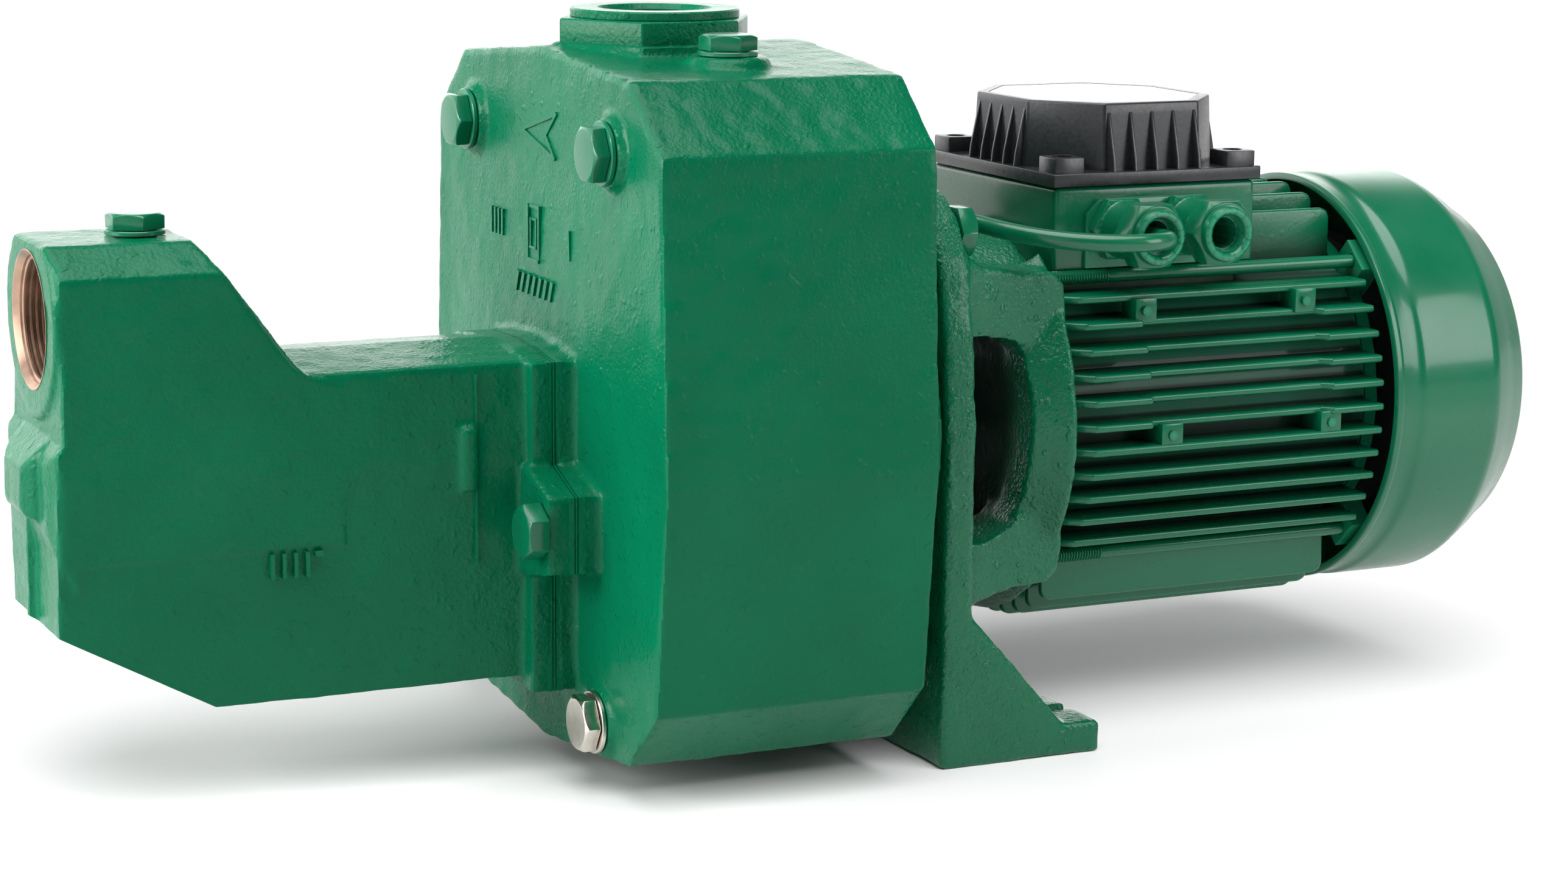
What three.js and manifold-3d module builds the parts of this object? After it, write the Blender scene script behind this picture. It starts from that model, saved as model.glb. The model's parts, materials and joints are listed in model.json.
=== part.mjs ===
// Shallow well jet pump: a close-coupled, self-priming surface pump with its ejector in a cast nose.
//
// Millimetres. +X runs from the suction nose to the fan cover, +Z is up, and the origin is on the ground
// under the middle of the pump. The near side, where the cable glands are, is -Y.
//
// Pieces that turn or sit round the shaft are drawn about the X axis and hang in the group onShaftLine.

import * as THREE from 'three';
import { mergeVertices } from 'three/addons/utils/BufferGeometryUtils.js';
import Module from 'manifold-3d';

const wasm = await Module();
wasm.setup();

// ---------------------------------------------------------------- driving dimensions

const GAP = 0.3; // clearance kept between touching pieces
const FINE = 24; // sides of large rounds
const COARSE = 12; // sides of small rounds
const SHAFT_HEIGHT = 130;

// Pump body: half of its cross-section, from the bottom ridge round to the top ridge, as [y, z]
const BODY = { front: -105.5, rear: 6.5, wall: 7 };
const BODY_HALF = [[0, 6.5], [86, 15], [113.5, 41], [122.5, 128], [116, 248.5], [87, 273.5], [0, 281]];
const BODY_BORE = 80.3;
const DELIVERY = { x: -58, top: 294.7, ring: 33.1, hexCorner: 40, hexTop: 291, minor: 19.5, major: 21 };
const SUCTION = { z: 185.7, face: -306.8, ring: 36.1, minor: 22.4, major: 25.3, depth: 35 };

// Nose: the ejector housing
const NOSE = { front: -304.8, flange: -127, joint: -118.6, floor: 41, side: 38.5 };
const PAD_FACE = -117.2; // body side of the nose joint
const NOSE_BOLT = { y: 59.5, z: 103.5, seat: -129.5, r: 6, length: 28 };
const FLANGE_HALF = [[0, 36], [43, 36], [43, 83], [66, 87], [66, 116.5], [43, 125], [43, 164.5], [22, 167.5],
  [0, 168.5]];
const KNOB = { front: -315.2, side: 18, shoulder: -309.7, shoulderSide: 37.5 }; // on the nose, below the port

// Adapter: the bracket that joins pump and motor and carries the foot
const PLATE = { front: 26, rear: 39 };
const PLATE_HALF = [[0, 0], [90.7, 0], [91.5, 130], [88, 172], [82, 200], [74, 215], [62, 224], [46, 229],
  [0, 231]];
const FOOT = { rear: 98, thick: 12.8, web: 12, slotY: 66.5, slot: 10, inner: 46 };
const LANTERN = { r: 76, windowEnd: 70, windowLow: -42, windowHigh: 40 }; // heights from the shaft line
const RING = { front: 60, rear: 86.7, r: 88, topR: 76.6, topHalf: 54, topRise: 50 };
const ADAPTER_BOLT = { y: 66, rise: 80, r: 5, length: 33 };
const BOLT_HEAD = { flats: 19, height: 7.5 };

// Motor
const FRAME = { front: 87, rear: 235, core: 68, bore: 60.3 };
const FIN = {
  pitch: 9.9,
  rows: 5,
  thick: 2.6,
  tip: 84,
  bottomTip: 91,
  corner: 97,
  step: { front: 124, rear: 208, depth: 4 },
  rearYs: [8, 23.5, 37],
  bottomYs: [5.5, 16.5, 27.5, 38.5, 49.5],
};
const PADS = { xs: [121, 197], long: 10, upperY: 71.5, lowerY: 83 };
const TIE = { y: 54.2, rise: 57, r: 2.9, rear: 245.3, front: 70 };
const STACK = { front: 120, rear: 200, statorBore: 35.3, rotor: 34.5 };
const COVER = { lip: 238.4, bead: 251, crease: 291, rear: 315.2, r: 88, lipR: 86.4, rearR: 73, wall: 2 };

// Ball bearings: 6205 at the pump end, 6204 behind
const FRONT_BEARING = { x: 68.3, width: 15, bore: 12.5, outer: 26, ball: 3.9, balls: 9 };
const REAR_BEARING = { x: 238, width: 14, bore: 10, outer: 23.5, ball: 3.9, balls: 8 };

// Terminal box
const BOX = { x0: 93.5, x1: 188, y: 52.5, floor: 188, top: 222.9, wall: 4, cableHole: 141 };
const LID = { x0: 92, x1: 189.5, y: 54, bottom: 223.2, flange: 228.6, top: 255.5 };
const EAR = { x: 8.5, y: 9, size: 14, top: 234.8 };
const RIB = 1.4; // thickness of the lid's ribs
const GLAND = {
  xs: [121.4, 153],
  z: 206.2,
  wall: -54.5,
  mouth: -89,
  hole: 6.2,
  thread: 8,
  hex: 24,
  nutHex: 25,
};
const LEAD = { r: 3.6, inside: [121.4, -43, 206.2] };

// Hex plugs: across flats, head height, thread radius and washer radius
const LARGE_PLUG = { flats: 20, head: 6, r: 8.4, washer: 12.2, length: 14 };
const SMALL_PLUG = { flats: 19.5, head: 6, r: 8.2, washer: 11.4, length: 12 };
const WASHER = 1.8;

// ---------------------------------------------------------------- finishes

const FINISHES = {
  castPaint: { color: 0x0a6b46, roughness: 0.42, metalness: 0.0 },
  paint: { color: 0x0c6e49, roughness: 0.3, metalness: 0.0 },
  black: { color: 0x1b1c1f, roughness: 0.45, metalness: 0.0 },
  nickel: { color: 0xb9b6ae, roughness: 0.3, metalness: 1.0 },
  steel: { color: 0x9a9c9e, roughness: 0.35, metalness: 1.0 },
  stainless: { color: 0xb4b6b8, roughness: 0.25, metalness: 1.0 },
  brass: { color: 0xa98745, roughness: 0.35, metalness: 1.0 },
  copper: { color: 0xa5603a, roughness: 0.4, metalness: 1.0 },
  lamination: { color: 0x5b5d60, roughness: 0.6, metalness: 0.8 },
  aluminium: { color: 0xa9abad, roughness: 0.5, metalness: 1.0 },
  plastic: { color: 0x2a2c2e, roughness: 0.55, metalness: 0.0 },
  nozzle: { color: 0xc9c2ae, roughness: 0.5, metalness: 0.0 },
  graphite: { color: 0x303234, roughness: 0.5, metalness: 0.2 },
  fibre: { color: 0x4a463e, roughness: 0.8, metalness: 0.0 },
};

// ---------------------------------------------------------------- geometry helpers

// One closed solid from a geometry: shared corners are merged, slivers on a lathe's axis are dropped.
function solid(geometry) {
  const bare = geometry.clone();
  bare.deleteAttribute('normal');
  bare.deleteAttribute('uv');
  const merged = mergeVertices(bare, 1e-4);
  const index = Array.from(merged.index.array);
  const triangles = [];
  for (let i = 0; i < index.length; i += 3) {
    const [a, b, c] = index.slice(i, i + 3);
    if (a !== b && b !== c && c !== a) triangles.push(a, b, c);
  }
  return new wasm.Manifold(new wasm.Mesh({
    numProp: 3,
    vertProperties: Float32Array.from(merged.attributes.position.array),
    triVerts: Uint32Array.from(triangles),
  }));
}

const asSolid = (shape) => (shape.isBufferGeometry ? solid(shape) : shape);
const join = (...shapes) => shapes.map(asSolid).reduce((whole, next) => whole.add(next));
const cut = (shape, ...tools) => tools.map(asSolid)
  .reduce((left, tool) => left.subtract(tool), asSolid(shape));
const common = (a, b) => asSolid(a).intersect(asSolid(b));

function geometryOf(shape) {
  if (shape.isBufferGeometry) return shape;
  const mesh = shape.getMesh();
  const geometry = new THREE.BufferGeometry();
  geometry.setAttribute('position', new THREE.BufferAttribute(mesh.vertProperties, 3));
  geometry.setIndex(new THREE.BufferAttribute(mesh.triVerts, 1));
  geometry.computeVertexNormals();
  return geometry;
}

function piece(name, shape, finish) {
  const mesh = new THREE.Mesh(geometryOf(shape), new THREE.MeshStandardMaterial(FINISHES[finish]));
  mesh.name = name;
  return mesh;
}

const mirrored = (half) => [
  ...half,
  ...half.slice().reverse().filter(([y]) => y > 0).map(([y, z]) => [-y, z]),
];

function block(x0, x1, y0, y1, z0, z1) {
  return new THREE.BoxGeometry(x1 - x0, y1 - y0, z1 - z0)
    .translate((x0 + x1) / 2, (y0 + y1) / 2, (z0 + z1) / 2);
}

// Outlines pushed along an axis. The bases are right-handed, so the faces stay turned outwards.
const AXES = {
  x: [new THREE.Vector3(0, 1, 0), new THREE.Vector3(0, 0, 1), new THREE.Vector3(1, 0, 0)],
  y: [new THREE.Vector3(0, 0, 1), new THREE.Vector3(1, 0, 0), new THREE.Vector3(0, 1, 0)],
  z: [new THREE.Vector3(1, 0, 0), new THREE.Vector3(0, 1, 0), new THREE.Vector3(0, 0, 1)],
};

function prism(axis, outline, from, to) {
  const shape = new THREE.Shape(outline.map(([u, v]) => new THREE.Vector2(u, v)));
  const [u, v, w] = AXES[axis];
  return new THREE.ExtrudeGeometry(shape, { depth: to - from, bevelEnabled: false })
    .applyMatrix4(new THREE.Matrix4().makeBasis(u, v, w))
    .translate(...w.clone().multiplyScalar(from).toArray());
}

const prismX = (outlineYZ, x0, x1) => prism('x', outlineYZ, x0, x1);
const prismY = (outlineXZ, y0, y1) => prism('y', outlineXZ.map(([x, z]) => [z, x]), y0, y1);

function arc(cx, cy, r, from, to, steps) {
  const points = [];
  for (let i = 0; i <= steps; i += 1) {
    const angle = THREE.MathUtils.degToRad(from + ((to - from) * i) / steps);
    points.push([cx + r * Math.cos(angle), cy + r * Math.sin(angle)]);
  }
  return points;
}

// A body of revolution about the X axis, from a profile of [x, radius] points in either direction.
function turned(profile, segments = FINE) {
  let area = 0;
  profile.forEach(([x, r], i) => {
    const [xNext, rNext] = profile[(i + 1) % profile.length];
    area += r * xNext - rNext * x;
  });
  const ordered = area > 0 ? profile.slice() : profile.slice().reverse();
  const points = ordered.map(([x, r]) => new THREE.Vector2(r, x));
  const onAxis = points[0].x === 0 && points[points.length - 1].x === 0;
  if (!onAxis) points.push(points[0].clone());
  return new THREE.LatheGeometry(points, segments).rotateZ(-Math.PI / 2);
}

const rod = (x0, x1, r, segments = COARSE) => turned([[x0, 0], [x0, r], [x1, r], [x1, 0]], segments);
const tube = (x0, x1, inner, outer, segments = FINE) => turned(
  [[x0, inner], [x0, outer], [x1, outer], [x1, inner]],
  segments,
);
const at = (geometry, x, y, z) => geometry.translate(x, y, z);
const upright = (geometry) => geometry.rotateY(-Math.PI / 2); // +X to +Z
const towardsNear = (geometry) => geometry.rotateZ(-Math.PI / 2); // +X to -Y
const pin = (x, y, z0, z1, r, segments = COARSE) => at(upright(rod(z0, z1, r, segments)), x, y, 0);
const turnedBy = (shape, degrees) => asSolid(shape).rotate([degrees, 0, 0]);

// A hexagon bar, with two corners level at start = 0 and two corners upright at start = 30
function hexBar(flats, x0, x1, start = 0) {
  const corner = flats / Math.sqrt(3);
  return prismX(arc(0, 0, corner, start, start + 300, 5), x0, x1);
}

// A hexagon head stands on x = 0 towards +X, on top of its thread.
const hexPlug = (size) => join(hexBar(size.flats, 0, size.head), rod(-size.length, 0.5, size.r));
const hexBolt = (size, start = 0) => join(
  hexBar(BOLT_HEAD.flats, 0, BOLT_HEAD.height, start),
  rod(-size.length, 0.5, size.r, 8),
);
const flatWasher = (size) => tube(0, WASHER, size.r + GAP, size.washer, COARSE);

const faceForward = (mesh) => mesh.rotateZ(Math.PI); // head towards -X
const faceUp = (mesh) => mesh.rotateY(-Math.PI / 2); // head towards +Z
const placed = (mesh, x, y, z) => {
  mesh.position.set(x, y, z);
  return mesh;
};

// ---------------------------------------------------------------- pump body

const midHeight = (BODY_HALF[0][1] + BODY_HALF.at(-1)[1]) / 2;

function insetBody(depth) {
  const halfWidth = Math.max(...BODY_HALF.map(([y]) => y));
  const halfHeight = BODY_HALF.at(-1)[1] - midHeight;
  return BODY_HALF.map(([y, z]) => [
    y * (1 - depth / halfWidth),
    midHeight + (z - midHeight) * (1 - depth / halfHeight),
  ]);
}

const FRONT_PLUGS = { near: [-72.2, 246.3], far: [72.2, 246.3] };
const DRAIN = [-63, 28];
const PRIMING = { x: -52, y: -56, seat: 279.5 };
const FRONT_SEAT = -109; // the front plugs' bosses
const PLUG_BOSS = 13.2;
const SWELL = { front: -108.4, half: 47, edge: 104 };
const PORT_WINDOW = { y: 22, z0: 50, z1: 92 };
const VENTURI_COLLAR = 20.2;

// The raised arrow outline on the front face that shows which way the water enters
function flowArrow() {
  const tip = [20, 247];
  const outline = [tip, [-17, 256.5], [-5, 247], [-17, 237.5]];
  const inner = [[14, 247], [-12, 253.5], [-1.5, 247], [-12, 240.5]];
  return cut(prismX(outline, BODY.front - 1.4, BODY.front + 2), prismX(inner, BODY.front - 3, BODY.front));
}

// The front face swells forward a little in the middle, round the nose's seat.
function frontSwell() {
  const level = [[BODY.front + 1, -SWELL.edge], [BODY.front, -SWELL.edge], [SWELL.front, -SWELL.half],
    [SWELL.front, SWELL.half], [BODY.front, SWELL.edge], [BODY.front + 1, SWELL.edge]];
  const upright = [[BODY.front + 1, 15], [BODY.front, 15], [SWELL.front, 50], [SWELL.front, 165],
    [BODY.front, 233], [BODY.front + 1, 233]];
  const bulge = common(prism('z', level, 0, 250), prismY(upright, -120, 120));
  return common(bulge, prismX(mirrored(BODY_HALF), SWELL.front - 1, BODY.front + 2));
}

function pumpBody() {
  const deliveryHex = arc(DELIVERY.x, 0, DELIVERY.hexCorner, 0, 300, 5);
  const shell = prismX(mirrored(BODY_HALF), BODY.front, BODY.rear);
  const chamber = prismX(mirrored(insetBody(BODY.wall)), BODY.front + BODY.wall, BODY.rear - BODY.wall);
  const bosses = [
    prismX(mirrored(FLANGE_HALF), PAD_FACE, BODY.front + 2),
    at(rod(BODY.rear - 2, PLATE.front - GAP, BODY_BORE + 8, FINE), 0, 0, SHAFT_HEIGHT),
    prism('z', deliveryHex, 265, DELIVERY.hexTop),
    pin(DELIVERY.x, 0, DELIVERY.hexTop - 1, DELIVERY.top, DELIVERY.ring, FINE),
    pin(PRIMING.x, PRIMING.y, 268, PRIMING.seat, 15),
    frontSwell(),
  ];
  const frontHoles = [...Object.values(FRONT_PLUGS), DRAIN];
  for (const [y, z] of frontHoles) bosses.push(at(rod(FRONT_SEAT, BODY.front + 2, PLUG_BOSS), 0, y, z));
  const holes = [
    at(rod(BODY.rear - 2 * BODY.wall, PLATE.front, BODY_BORE, FINE), 0, 0, SHAFT_HEIGHT),
    at(rod(PAD_FACE - 1, BODY.front + 12, VENTURI_COLLAR + 5), 0, 0, SHAFT_HEIGHT),
    block(PAD_FACE - 1, BODY.front + 12, -PORT_WINDOW.y, PORT_WINDOW.y, PORT_WINDOW.z0, PORT_WINDOW.z1),
    pin(DELIVERY.x, 0, 255, DELIVERY.top + 1, DELIVERY.minor, 24),
    at(upright(turned([[-3, 0], [-3, DELIVERY.minor], [1, DELIVERY.major + 2], [1, 0]], 24)),
      DELIVERY.x, 0, DELIVERY.top),
    pin(PRIMING.x, PRIMING.y, 255, PRIMING.seat + 1, SMALL_PLUG.r + GAP),
  ];
  for (const [y, z] of frontHoles) {
    holes.push(at(rod(FRONT_SEAT - 1, BODY.front + 12, LARGE_PLUG.r + GAP), 0, y, z));
  }
  for (const side of [-1, 1]) {
    holes.push(at(rod(PAD_FACE - 1, BODY.front + 5, NOSE_BOLT.r + GAP), 0, side * NOSE_BOLT.y, NOSE_BOLT.z));
    for (const up of [-1, 1]) {
      const place = [0, side * ADAPTER_BOLT.y, SHAFT_HEIGHT + up * ADAPTER_BOLT.rise];
      bosses.push(at(rod(BODY.rear - 2, PLATE.front - GAP, 15), ...place));
      holes.push(at(rod(BODY.rear - 2, PLATE.front + 1, ADAPTER_BOLT.r + GAP, 8), ...place));
    }
  }
  return cut(join(cut(shell, chamber), cut(join(...bosses), chamber), flowArrow()), ...holes);
}

// ---------------------------------------------------------------- nose: the ejector housing

function noseOutside() {
  const humpSide = [[NOSE.front, 100], [NOSE.front, 215], [-251, 215], [-217.5, 168.8], [-211, 163],
    [-200, 160], [-200, 100]];
  const humpSection = mirrored([[0, 90], [38, 90], [NOSE.side, 128], [36.5, 204.5], [22, 215.1], [0, 215.2]]);
  const rearSection = mirrored([[0, NOSE.floor], [34, NOSE.floor], [NOSE.side, 128], [37, 164.5], [0, 169]]);
  const lowerFace = mirrored([[0, NOSE.floor], [34, NOSE.floor], [NOSE.side - 0.5, 126], [0, 126]]);
  const slope = [[-330, 85.7], [-249, 41.2], [-249, 20], [-330, 20]];
  const knob = [[-300, 110], [KNOB.front, 114], [KNOB.front, 131], [-311.6, 137.5], [-300, 147]];
  const shoulder = [[-300, 104], [KNOB.shoulder, 110], [KNOB.shoulder, 137], [-300, 150]];
  const portRing = at(rod(SUCTION.face, NOSE.front + 4, SUCTION.ring, FINE), 0, 0, SUCTION.z);
  const boltBoss = [[0, 83], ...FLANGE_HALF.slice(2, 6), [0, 125]];
  return cut(
    join(
      common(prismY(humpSide, -50, 50), prismX(humpSection, NOSE.front, -200)),
      prismX(rearSection, NOSE.front + 2, NOSE.flange + 1),
      prismX(lowerFace, -308.2, NOSE.front + 4),
      common(portRing, block(-310, -290, -50, 50, 0, 215)),
      prismY(knob, -KNOB.side, KNOB.side),
      prismY(shoulder, -KNOB.shoulderSide, KNOB.shoulderSide),
      block(-310.2, -300, -1.8, 1.8, 70, 112),
      block(-153.6, -147.4, -41, 41, 116.5, 141),
      prismX(mirrored(FLANGE_HALF.filter(([y]) => y < 60)), NOSE.flange, NOSE.joint),
      prismX(mirrored(boltBoss), NOSE_BOLT.seat, NOSE.joint),
    ),
    prismY(slope, -60, 60),
  );
}

function noseCasting() {
  const suctionCavity = [[-273, 164], [-273, 206], [-256, 206], [-222, 158], [-131, 158], [-131, 104],
    [-241, 104], [-241, 164]];
  const driveCavity = [[-297, 156], [-249, 156], [-249, 96], [-110, 96], [-110, 50.5], [-249, 50.5],
    [-297, 77]];
  const bore = at(rod(SUCTION.face - 1, SUCTION.face + SUCTION.depth, SUCTION.minor, FINE), 0, 0, SUCTION.z);
  const mouth = at(
    turned([[-1, 0], [-1, SUCTION.major + 1], [3, SUCTION.minor], [3, 0]], FINE),
    SUCTION.face, 0, SUCTION.z,
  );
  const holes = [
    bore,
    mouth,
    prismY(suctionCavity, -27, 27),
    prismY(driveCavity, -26, 26),
    at(rod(-252, -238, 12.4, FINE), 0, 0, SHAFT_HEIGHT),
    at(rod(-133, -110, VENTURI_COLLAR, FINE), 0, 0, SHAFT_HEIGHT),
    pin(-266.5, 0, 200, 216, SMALL_PLUG.r + GAP),
  ];
  for (const side of [-1, 1]) {
    holes.push(at(rod(-131, -110, NOSE_BOLT.r + GAP), 0, side * NOSE_BOLT.y, NOSE_BOLT.z));
  }
  return cut(noseOutside(), ...holes);
}

function noseGasket() {
  const sheet = prismX(mirrored(FLANGE_HALF), NOSE.joint + GAP, PAD_FACE - GAP);
  const holes = [
    at(rod(-125, -110, VENTURI_COLLAR + 4), 0, 0, SHAFT_HEIGHT),
    block(-125, -110, -PORT_WINDOW.y - 5, PORT_WINDOW.y + 5, PORT_WINDOW.z0 - 2, 98),
  ];
  for (const side of [-1, 1]) {
    holes.push(at(rod(-125, -110, NOSE_BOLT.r + GAP), 0, side * NOSE_BOLT.y, NOSE_BOLT.z));
  }
  return cut(sheet, ...holes);
}

// ---------------------------------------------------------------- ejector and impeller, about the shaft line

const nozzle = () => turned([[-262, 9.5], [-262, 12], [-255, 12], [-255, 17], [-249.3, 17], [-249.3, 12],
  [-240, 12], [-229.5, 7.5], [-229.5, 5.2], [-238, 6.5]], 14);

const venturi = () => turned([[-224, 15.5], [-224, 18], [-216, 19.6], [-48, 19.6], [-40, 23.6], [-27, 23.6],
  [-27, 21], [-100, 14], [-168, 8.6], [-194, 8.6], [-212, 12]], 16);

// Ring that gathers the water thrown out by the impeller and slows it down
function diffuser() {
  const ring = turned([[-25, 24], [-25, 72], [-21, 79.7], [19.3, 79.7], [19.3, 71], [-19, 71], [-21, 24]]);
  const ports = [];
  for (let i = 0; i < 6; i += 1) ports.push(turnedBy(block(-14, 2, 60, 90, -9, 9), i * 60 + 30));
  return cut(ring, ...ports);
}

// Closed impeller: two shrouds with curved vanes between them, on a hub
function impeller() {
  const spiral = (shift) => arc(0, 0, 1, 0, 66, 3).map(([c, s], i) => {
    const r = 27 + (35 * i) / 3 - shift;
    return [r * c, r * s];
  });
  const vane = [...spiral(0), ...spiral(3).reverse()];
  const vanes = [0, 1, 2, 3, 4, 5].map((i) => turnedBy(prismX(vane, -15, 6), i * 60));
  return join(
    turned([[-7.5, 9], [-7.5, 16], [5.5, 16], [5.5, 64], [8, 64], [8, 9]], 18),
    turned([[-19, 24], [-19, 28], [-15, 28], [-15, 64], [-12.5, 64], [-12.5, 24]], 18),
    ...vanes,
  );
}

const sealDisc = () => turned([[19.7, 24], [19.7, 80], [25.7, 80], [25.7, 31.4], [38, 31.4], [38, 14],
  [35, 14], [35, 24]]);
const sealSeat = () => tube(24.5, 34.6, 11.3, 23.6, COARSE);
const sealRotary = () => turned([[8.4, 10.4], [8.4, 19], [12, 19], [12, 16], [19, 16], [19, 18.5],
  [24.2, 18.5], [24.2, 10.4]], COARSE);

// ---------------------------------------------------------------- adapter

const EAR_RADIUS = 82.5;
const CORNERS = [[-1, 1], [1, 1], [1, -1], [-1, -1]];
const tieAngle = (side, up) => THREE.MathUtils.radToDeg(Math.atan2(up * TIE.rise, side * TIE.y));

function foot() {
  const webSide = [[PLATE.front, 0], [FOOT.rear, 0], [FOOT.rear, FOOT.thick], [82, FOOT.thick],
    [PLATE.rear, 61], [PLATE.front, 61]];
  const parts = [];
  for (const side of [-1, 1]) {
    const span = (a, b) => (side > 0 ? [a, b] : [-b, -a]);
    const pad = block(PLATE.front, FOOT.rear, ...span(FOOT.inner, 90.7), 0, FOOT.thick);
    const slotMid = side * FOOT.slotY;
    const slot = [
      block(77, FOOT.rear + 1, slotMid - FOOT.slot / 2, slotMid + FOOT.slot / 2, -1, FOOT.thick + 1),
      pin(77, slotMid, -1, FOOT.thick + 1, FOOT.slot / 2),
    ];
    parts.push(cut(pad, ...slot), prismY(webSide, ...span(90.7 - FOOT.web, 90.7)));
  }
  return join(...parts);
}

// The heavy lump that carries a tie bolt from the plate back to the ring
function lug(side, up) {
  const rises = [[PLATE.rear - 1, 33], [PLATE.rear - 1, 74], [47, 67.5], [70, 63.5], [RING.rear, 61.8],
    [RING.rear, 30], [75, 35]];
  const plan = [[PLATE.rear - 1, 40], [PLATE.rear - 1, 80], [52, 77], [RING.rear, 72.5], [RING.rear, 50],
    [RING.front, 46]];
  const upright = prismY(rises.map(([x, z]) => [x, up * z]), -90, 90);
  return common(upright, prism('z', plan.map(([x, y]) => [x, side * y]), -90, 90));
}

// The lantern: an open shell with side windows, the motor's spigot ring, and the hub of the front bearing
function lantern() {
  const seat = FRONT_BEARING.outer + GAP;
  const { windowEnd, windowLow, windowHigh } = LANTERN;
  const { topHalf, topRise } = RING;
  const skin = turned([[PLATE.rear - 1, 66], [PLATE.rear - 1, LANTERN.r], [RING.front, LANTERN.r + 1],
    [84.5, RING.r], [RING.rear, RING.r], [RING.rear, 59.7], [91, 59.7], [91, 52], [84.5, 52], [84.5, seat],
    [66.5, seat], [66.5, 22], [62, 22], [62, 35], [69, 42], [70, 66]]);
  const crown = cut(
    block(PLATE.rear, RING.rear + 1, -topHalf, topHalf, topRise, RING.r + 1),
    rod(PLATE.rear - 1, RING.rear + 2, RING.topR, 48),
  );
  const windows = block(PLATE.rear + 0.5, windowEnd, -100, 100, windowLow, windowHigh);
  const headRooms = CORNERS.map(([side, up]) => at(
    rod(PLATE.rear, PLATE.rear + 2 * BOLT_HEAD.height, BOLT_HEAD.flats / 2 + 3),
    0, side * ADAPTER_BOLT.y, up * ADAPTER_BOLT.rise,
  ));
  const tappedHoles = CORNERS.map(([side, up]) => at(
    rod(TIE.front - GAP, RING.rear + 1, TIE.r + GAP, 8),
    0, side * TIE.y, up * TIE.rise,
  ));
  const shell = join(cut(skin, crown), ...CORNERS.map(([side, up]) => lug(side, up)));
  return cut(shell, windows, ...headRooms, ...tappedHoles);
}

function adapter() {
  const holes = [at(rod(PLATE.front - 1, PLATE.rear + 1, 32, FINE), 0, 0, SHAFT_HEIGHT)];
  for (const [side, up] of CORNERS) {
    holes.push(at(rod(PLATE.front - 1, PLATE.rear + 1, ADAPTER_BOLT.r + GAP, 8),
      0, side * ADAPTER_BOLT.y, SHAFT_HEIGHT + up * ADAPTER_BOLT.rise));
  }
  const plate = join(prismX(mirrored(PLATE_HALF), PLATE.front, PLATE.rear), foot());
  return join(cut(plate, ...holes), lantern().translate([0, 0, SHAFT_HEIGHT]));
}

// ---------------------------------------------------------------- motor, about the shaft line

// A level fin at height z. Its front corner is cut back, and the middle of an upper fin is shallower.
function sideFin(side, z) {
  const root = Math.sqrt(FRAME.core ** 2 - z ** 2) - 2;
  const tip = Math.sqrt(FIN.tip ** 2 - z ** 2);
  const front = [[FRAME.front + 1, root], [FRAME.front + 1, tip - 8], [FIN.corner, tip]];
  const { front: stepFront, rear: stepRear, depth } = FIN.step;
  const step = [[stepFront, tip], [stepFront, tip - depth], [stepRear, tip - depth], [stepRear, tip]];
  const stepped = z >= 0 && z < FIN.pitch * (FIN.rows - 0.5);
  const outline = [...front, ...(stepped ? step : []), [FRAME.rear, tip], [FRAME.rear, root]];
  return prism('z', outline.map(([x, y]) => [x, side * y]), z - FIN.thick / 2, z + FIN.thick / 2);
}

// An upright fin above (up = 1) or below (up = -1) the frame, with its outer corners cut off
function uprightFin(y, x0, x1, tipRadius, up) {
  const root = Math.sqrt(FRAME.core ** 2 - y ** 2) - 3;
  const tip = Math.sqrt(tipRadius ** 2 - y ** 2);
  const outline = [[x0, root], [x0, tip - 4], [x0 + 4, tip], [x1 - 4, tip], [x1, tip - 4], [x1, root]];
  return prismY(outline.map(([x, z]) => [x, up * z]), y - FIN.thick / 2, y + FIN.thick / 2);
}

function motorFrame() {
  const parts = [tube(FRAME.front, FRAME.rear, FRAME.bore, FRAME.core, 30)];
  for (const side of [-1, 1]) {
    for (let row = -FIN.rows; row <= FIN.rows; row += 1) parts.push(sideFin(side, row * FIN.pitch));
    const spanY = (outer) => [Math.min(side * 60, side * outer), Math.max(side * 60, side * outer)];
    for (const x of PADS.xs) {
      parts.push(block(x, x + PADS.long, ...spanY(PADS.upperY), 4 * FIN.pitch, 5 * FIN.pitch));
      parts.push(block(x + 7, x + 7 + PADS.long, ...spanY(PADS.lowerY), -9, 0));
    }
    for (const y of FIN.rearYs) parts.push(uprightFin(side * y, 190, FRAME.rear, FIN.tip + 2, 1));
    for (const y of FIN.bottomYs) parts.push(uprightFin(side * y, 92, 229, FIN.bottomTip, -1));
    const seatTop = BOX.floor - SHAFT_HEIGHT - GAP;
    parts.push(block(100, 182, Math.min(side * 30, side * 48), Math.max(side * 30, side * 48), 40, seatTop));
  }
  const bore = rod(FRAME.front - 1, FRAME.rear + 1, FRAME.bore, 30);
  return cut(join(...parts), bore, at(upright(rod(50, 75, 8)), BOX.cableHole, 0, 0));
}

const statorCore = () => tube(STACK.front, STACK.rear, STACK.statorBore, FRAME.bore - 2 * GAP, 30);

// Overhang of the windings: a rounded ring beside the core, with its inner end towards the core
function winding(coreFace, away) {
  const reach = away * 20;
  return turned([[coreFace + away * GAP, 40], [coreFace + away * GAP, 56], [coreFace + 0.6 * reach, 57.5],
    [coreFace + reach, 54], [coreFace + reach, 43], [coreFace + 0.6 * reach, 39]], 16);
}

const rotorCore = () => turned([[STACK.front - 9, 16.4], [STACK.front - 9, 33], [STACK.front, 33],
  [STACK.front, STACK.rotor], [STACK.rear, STACK.rotor], [STACK.rear, 33], [STACK.rear + 9, 33],
  [STACK.rear + 9, 16.4]], 18);

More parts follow.
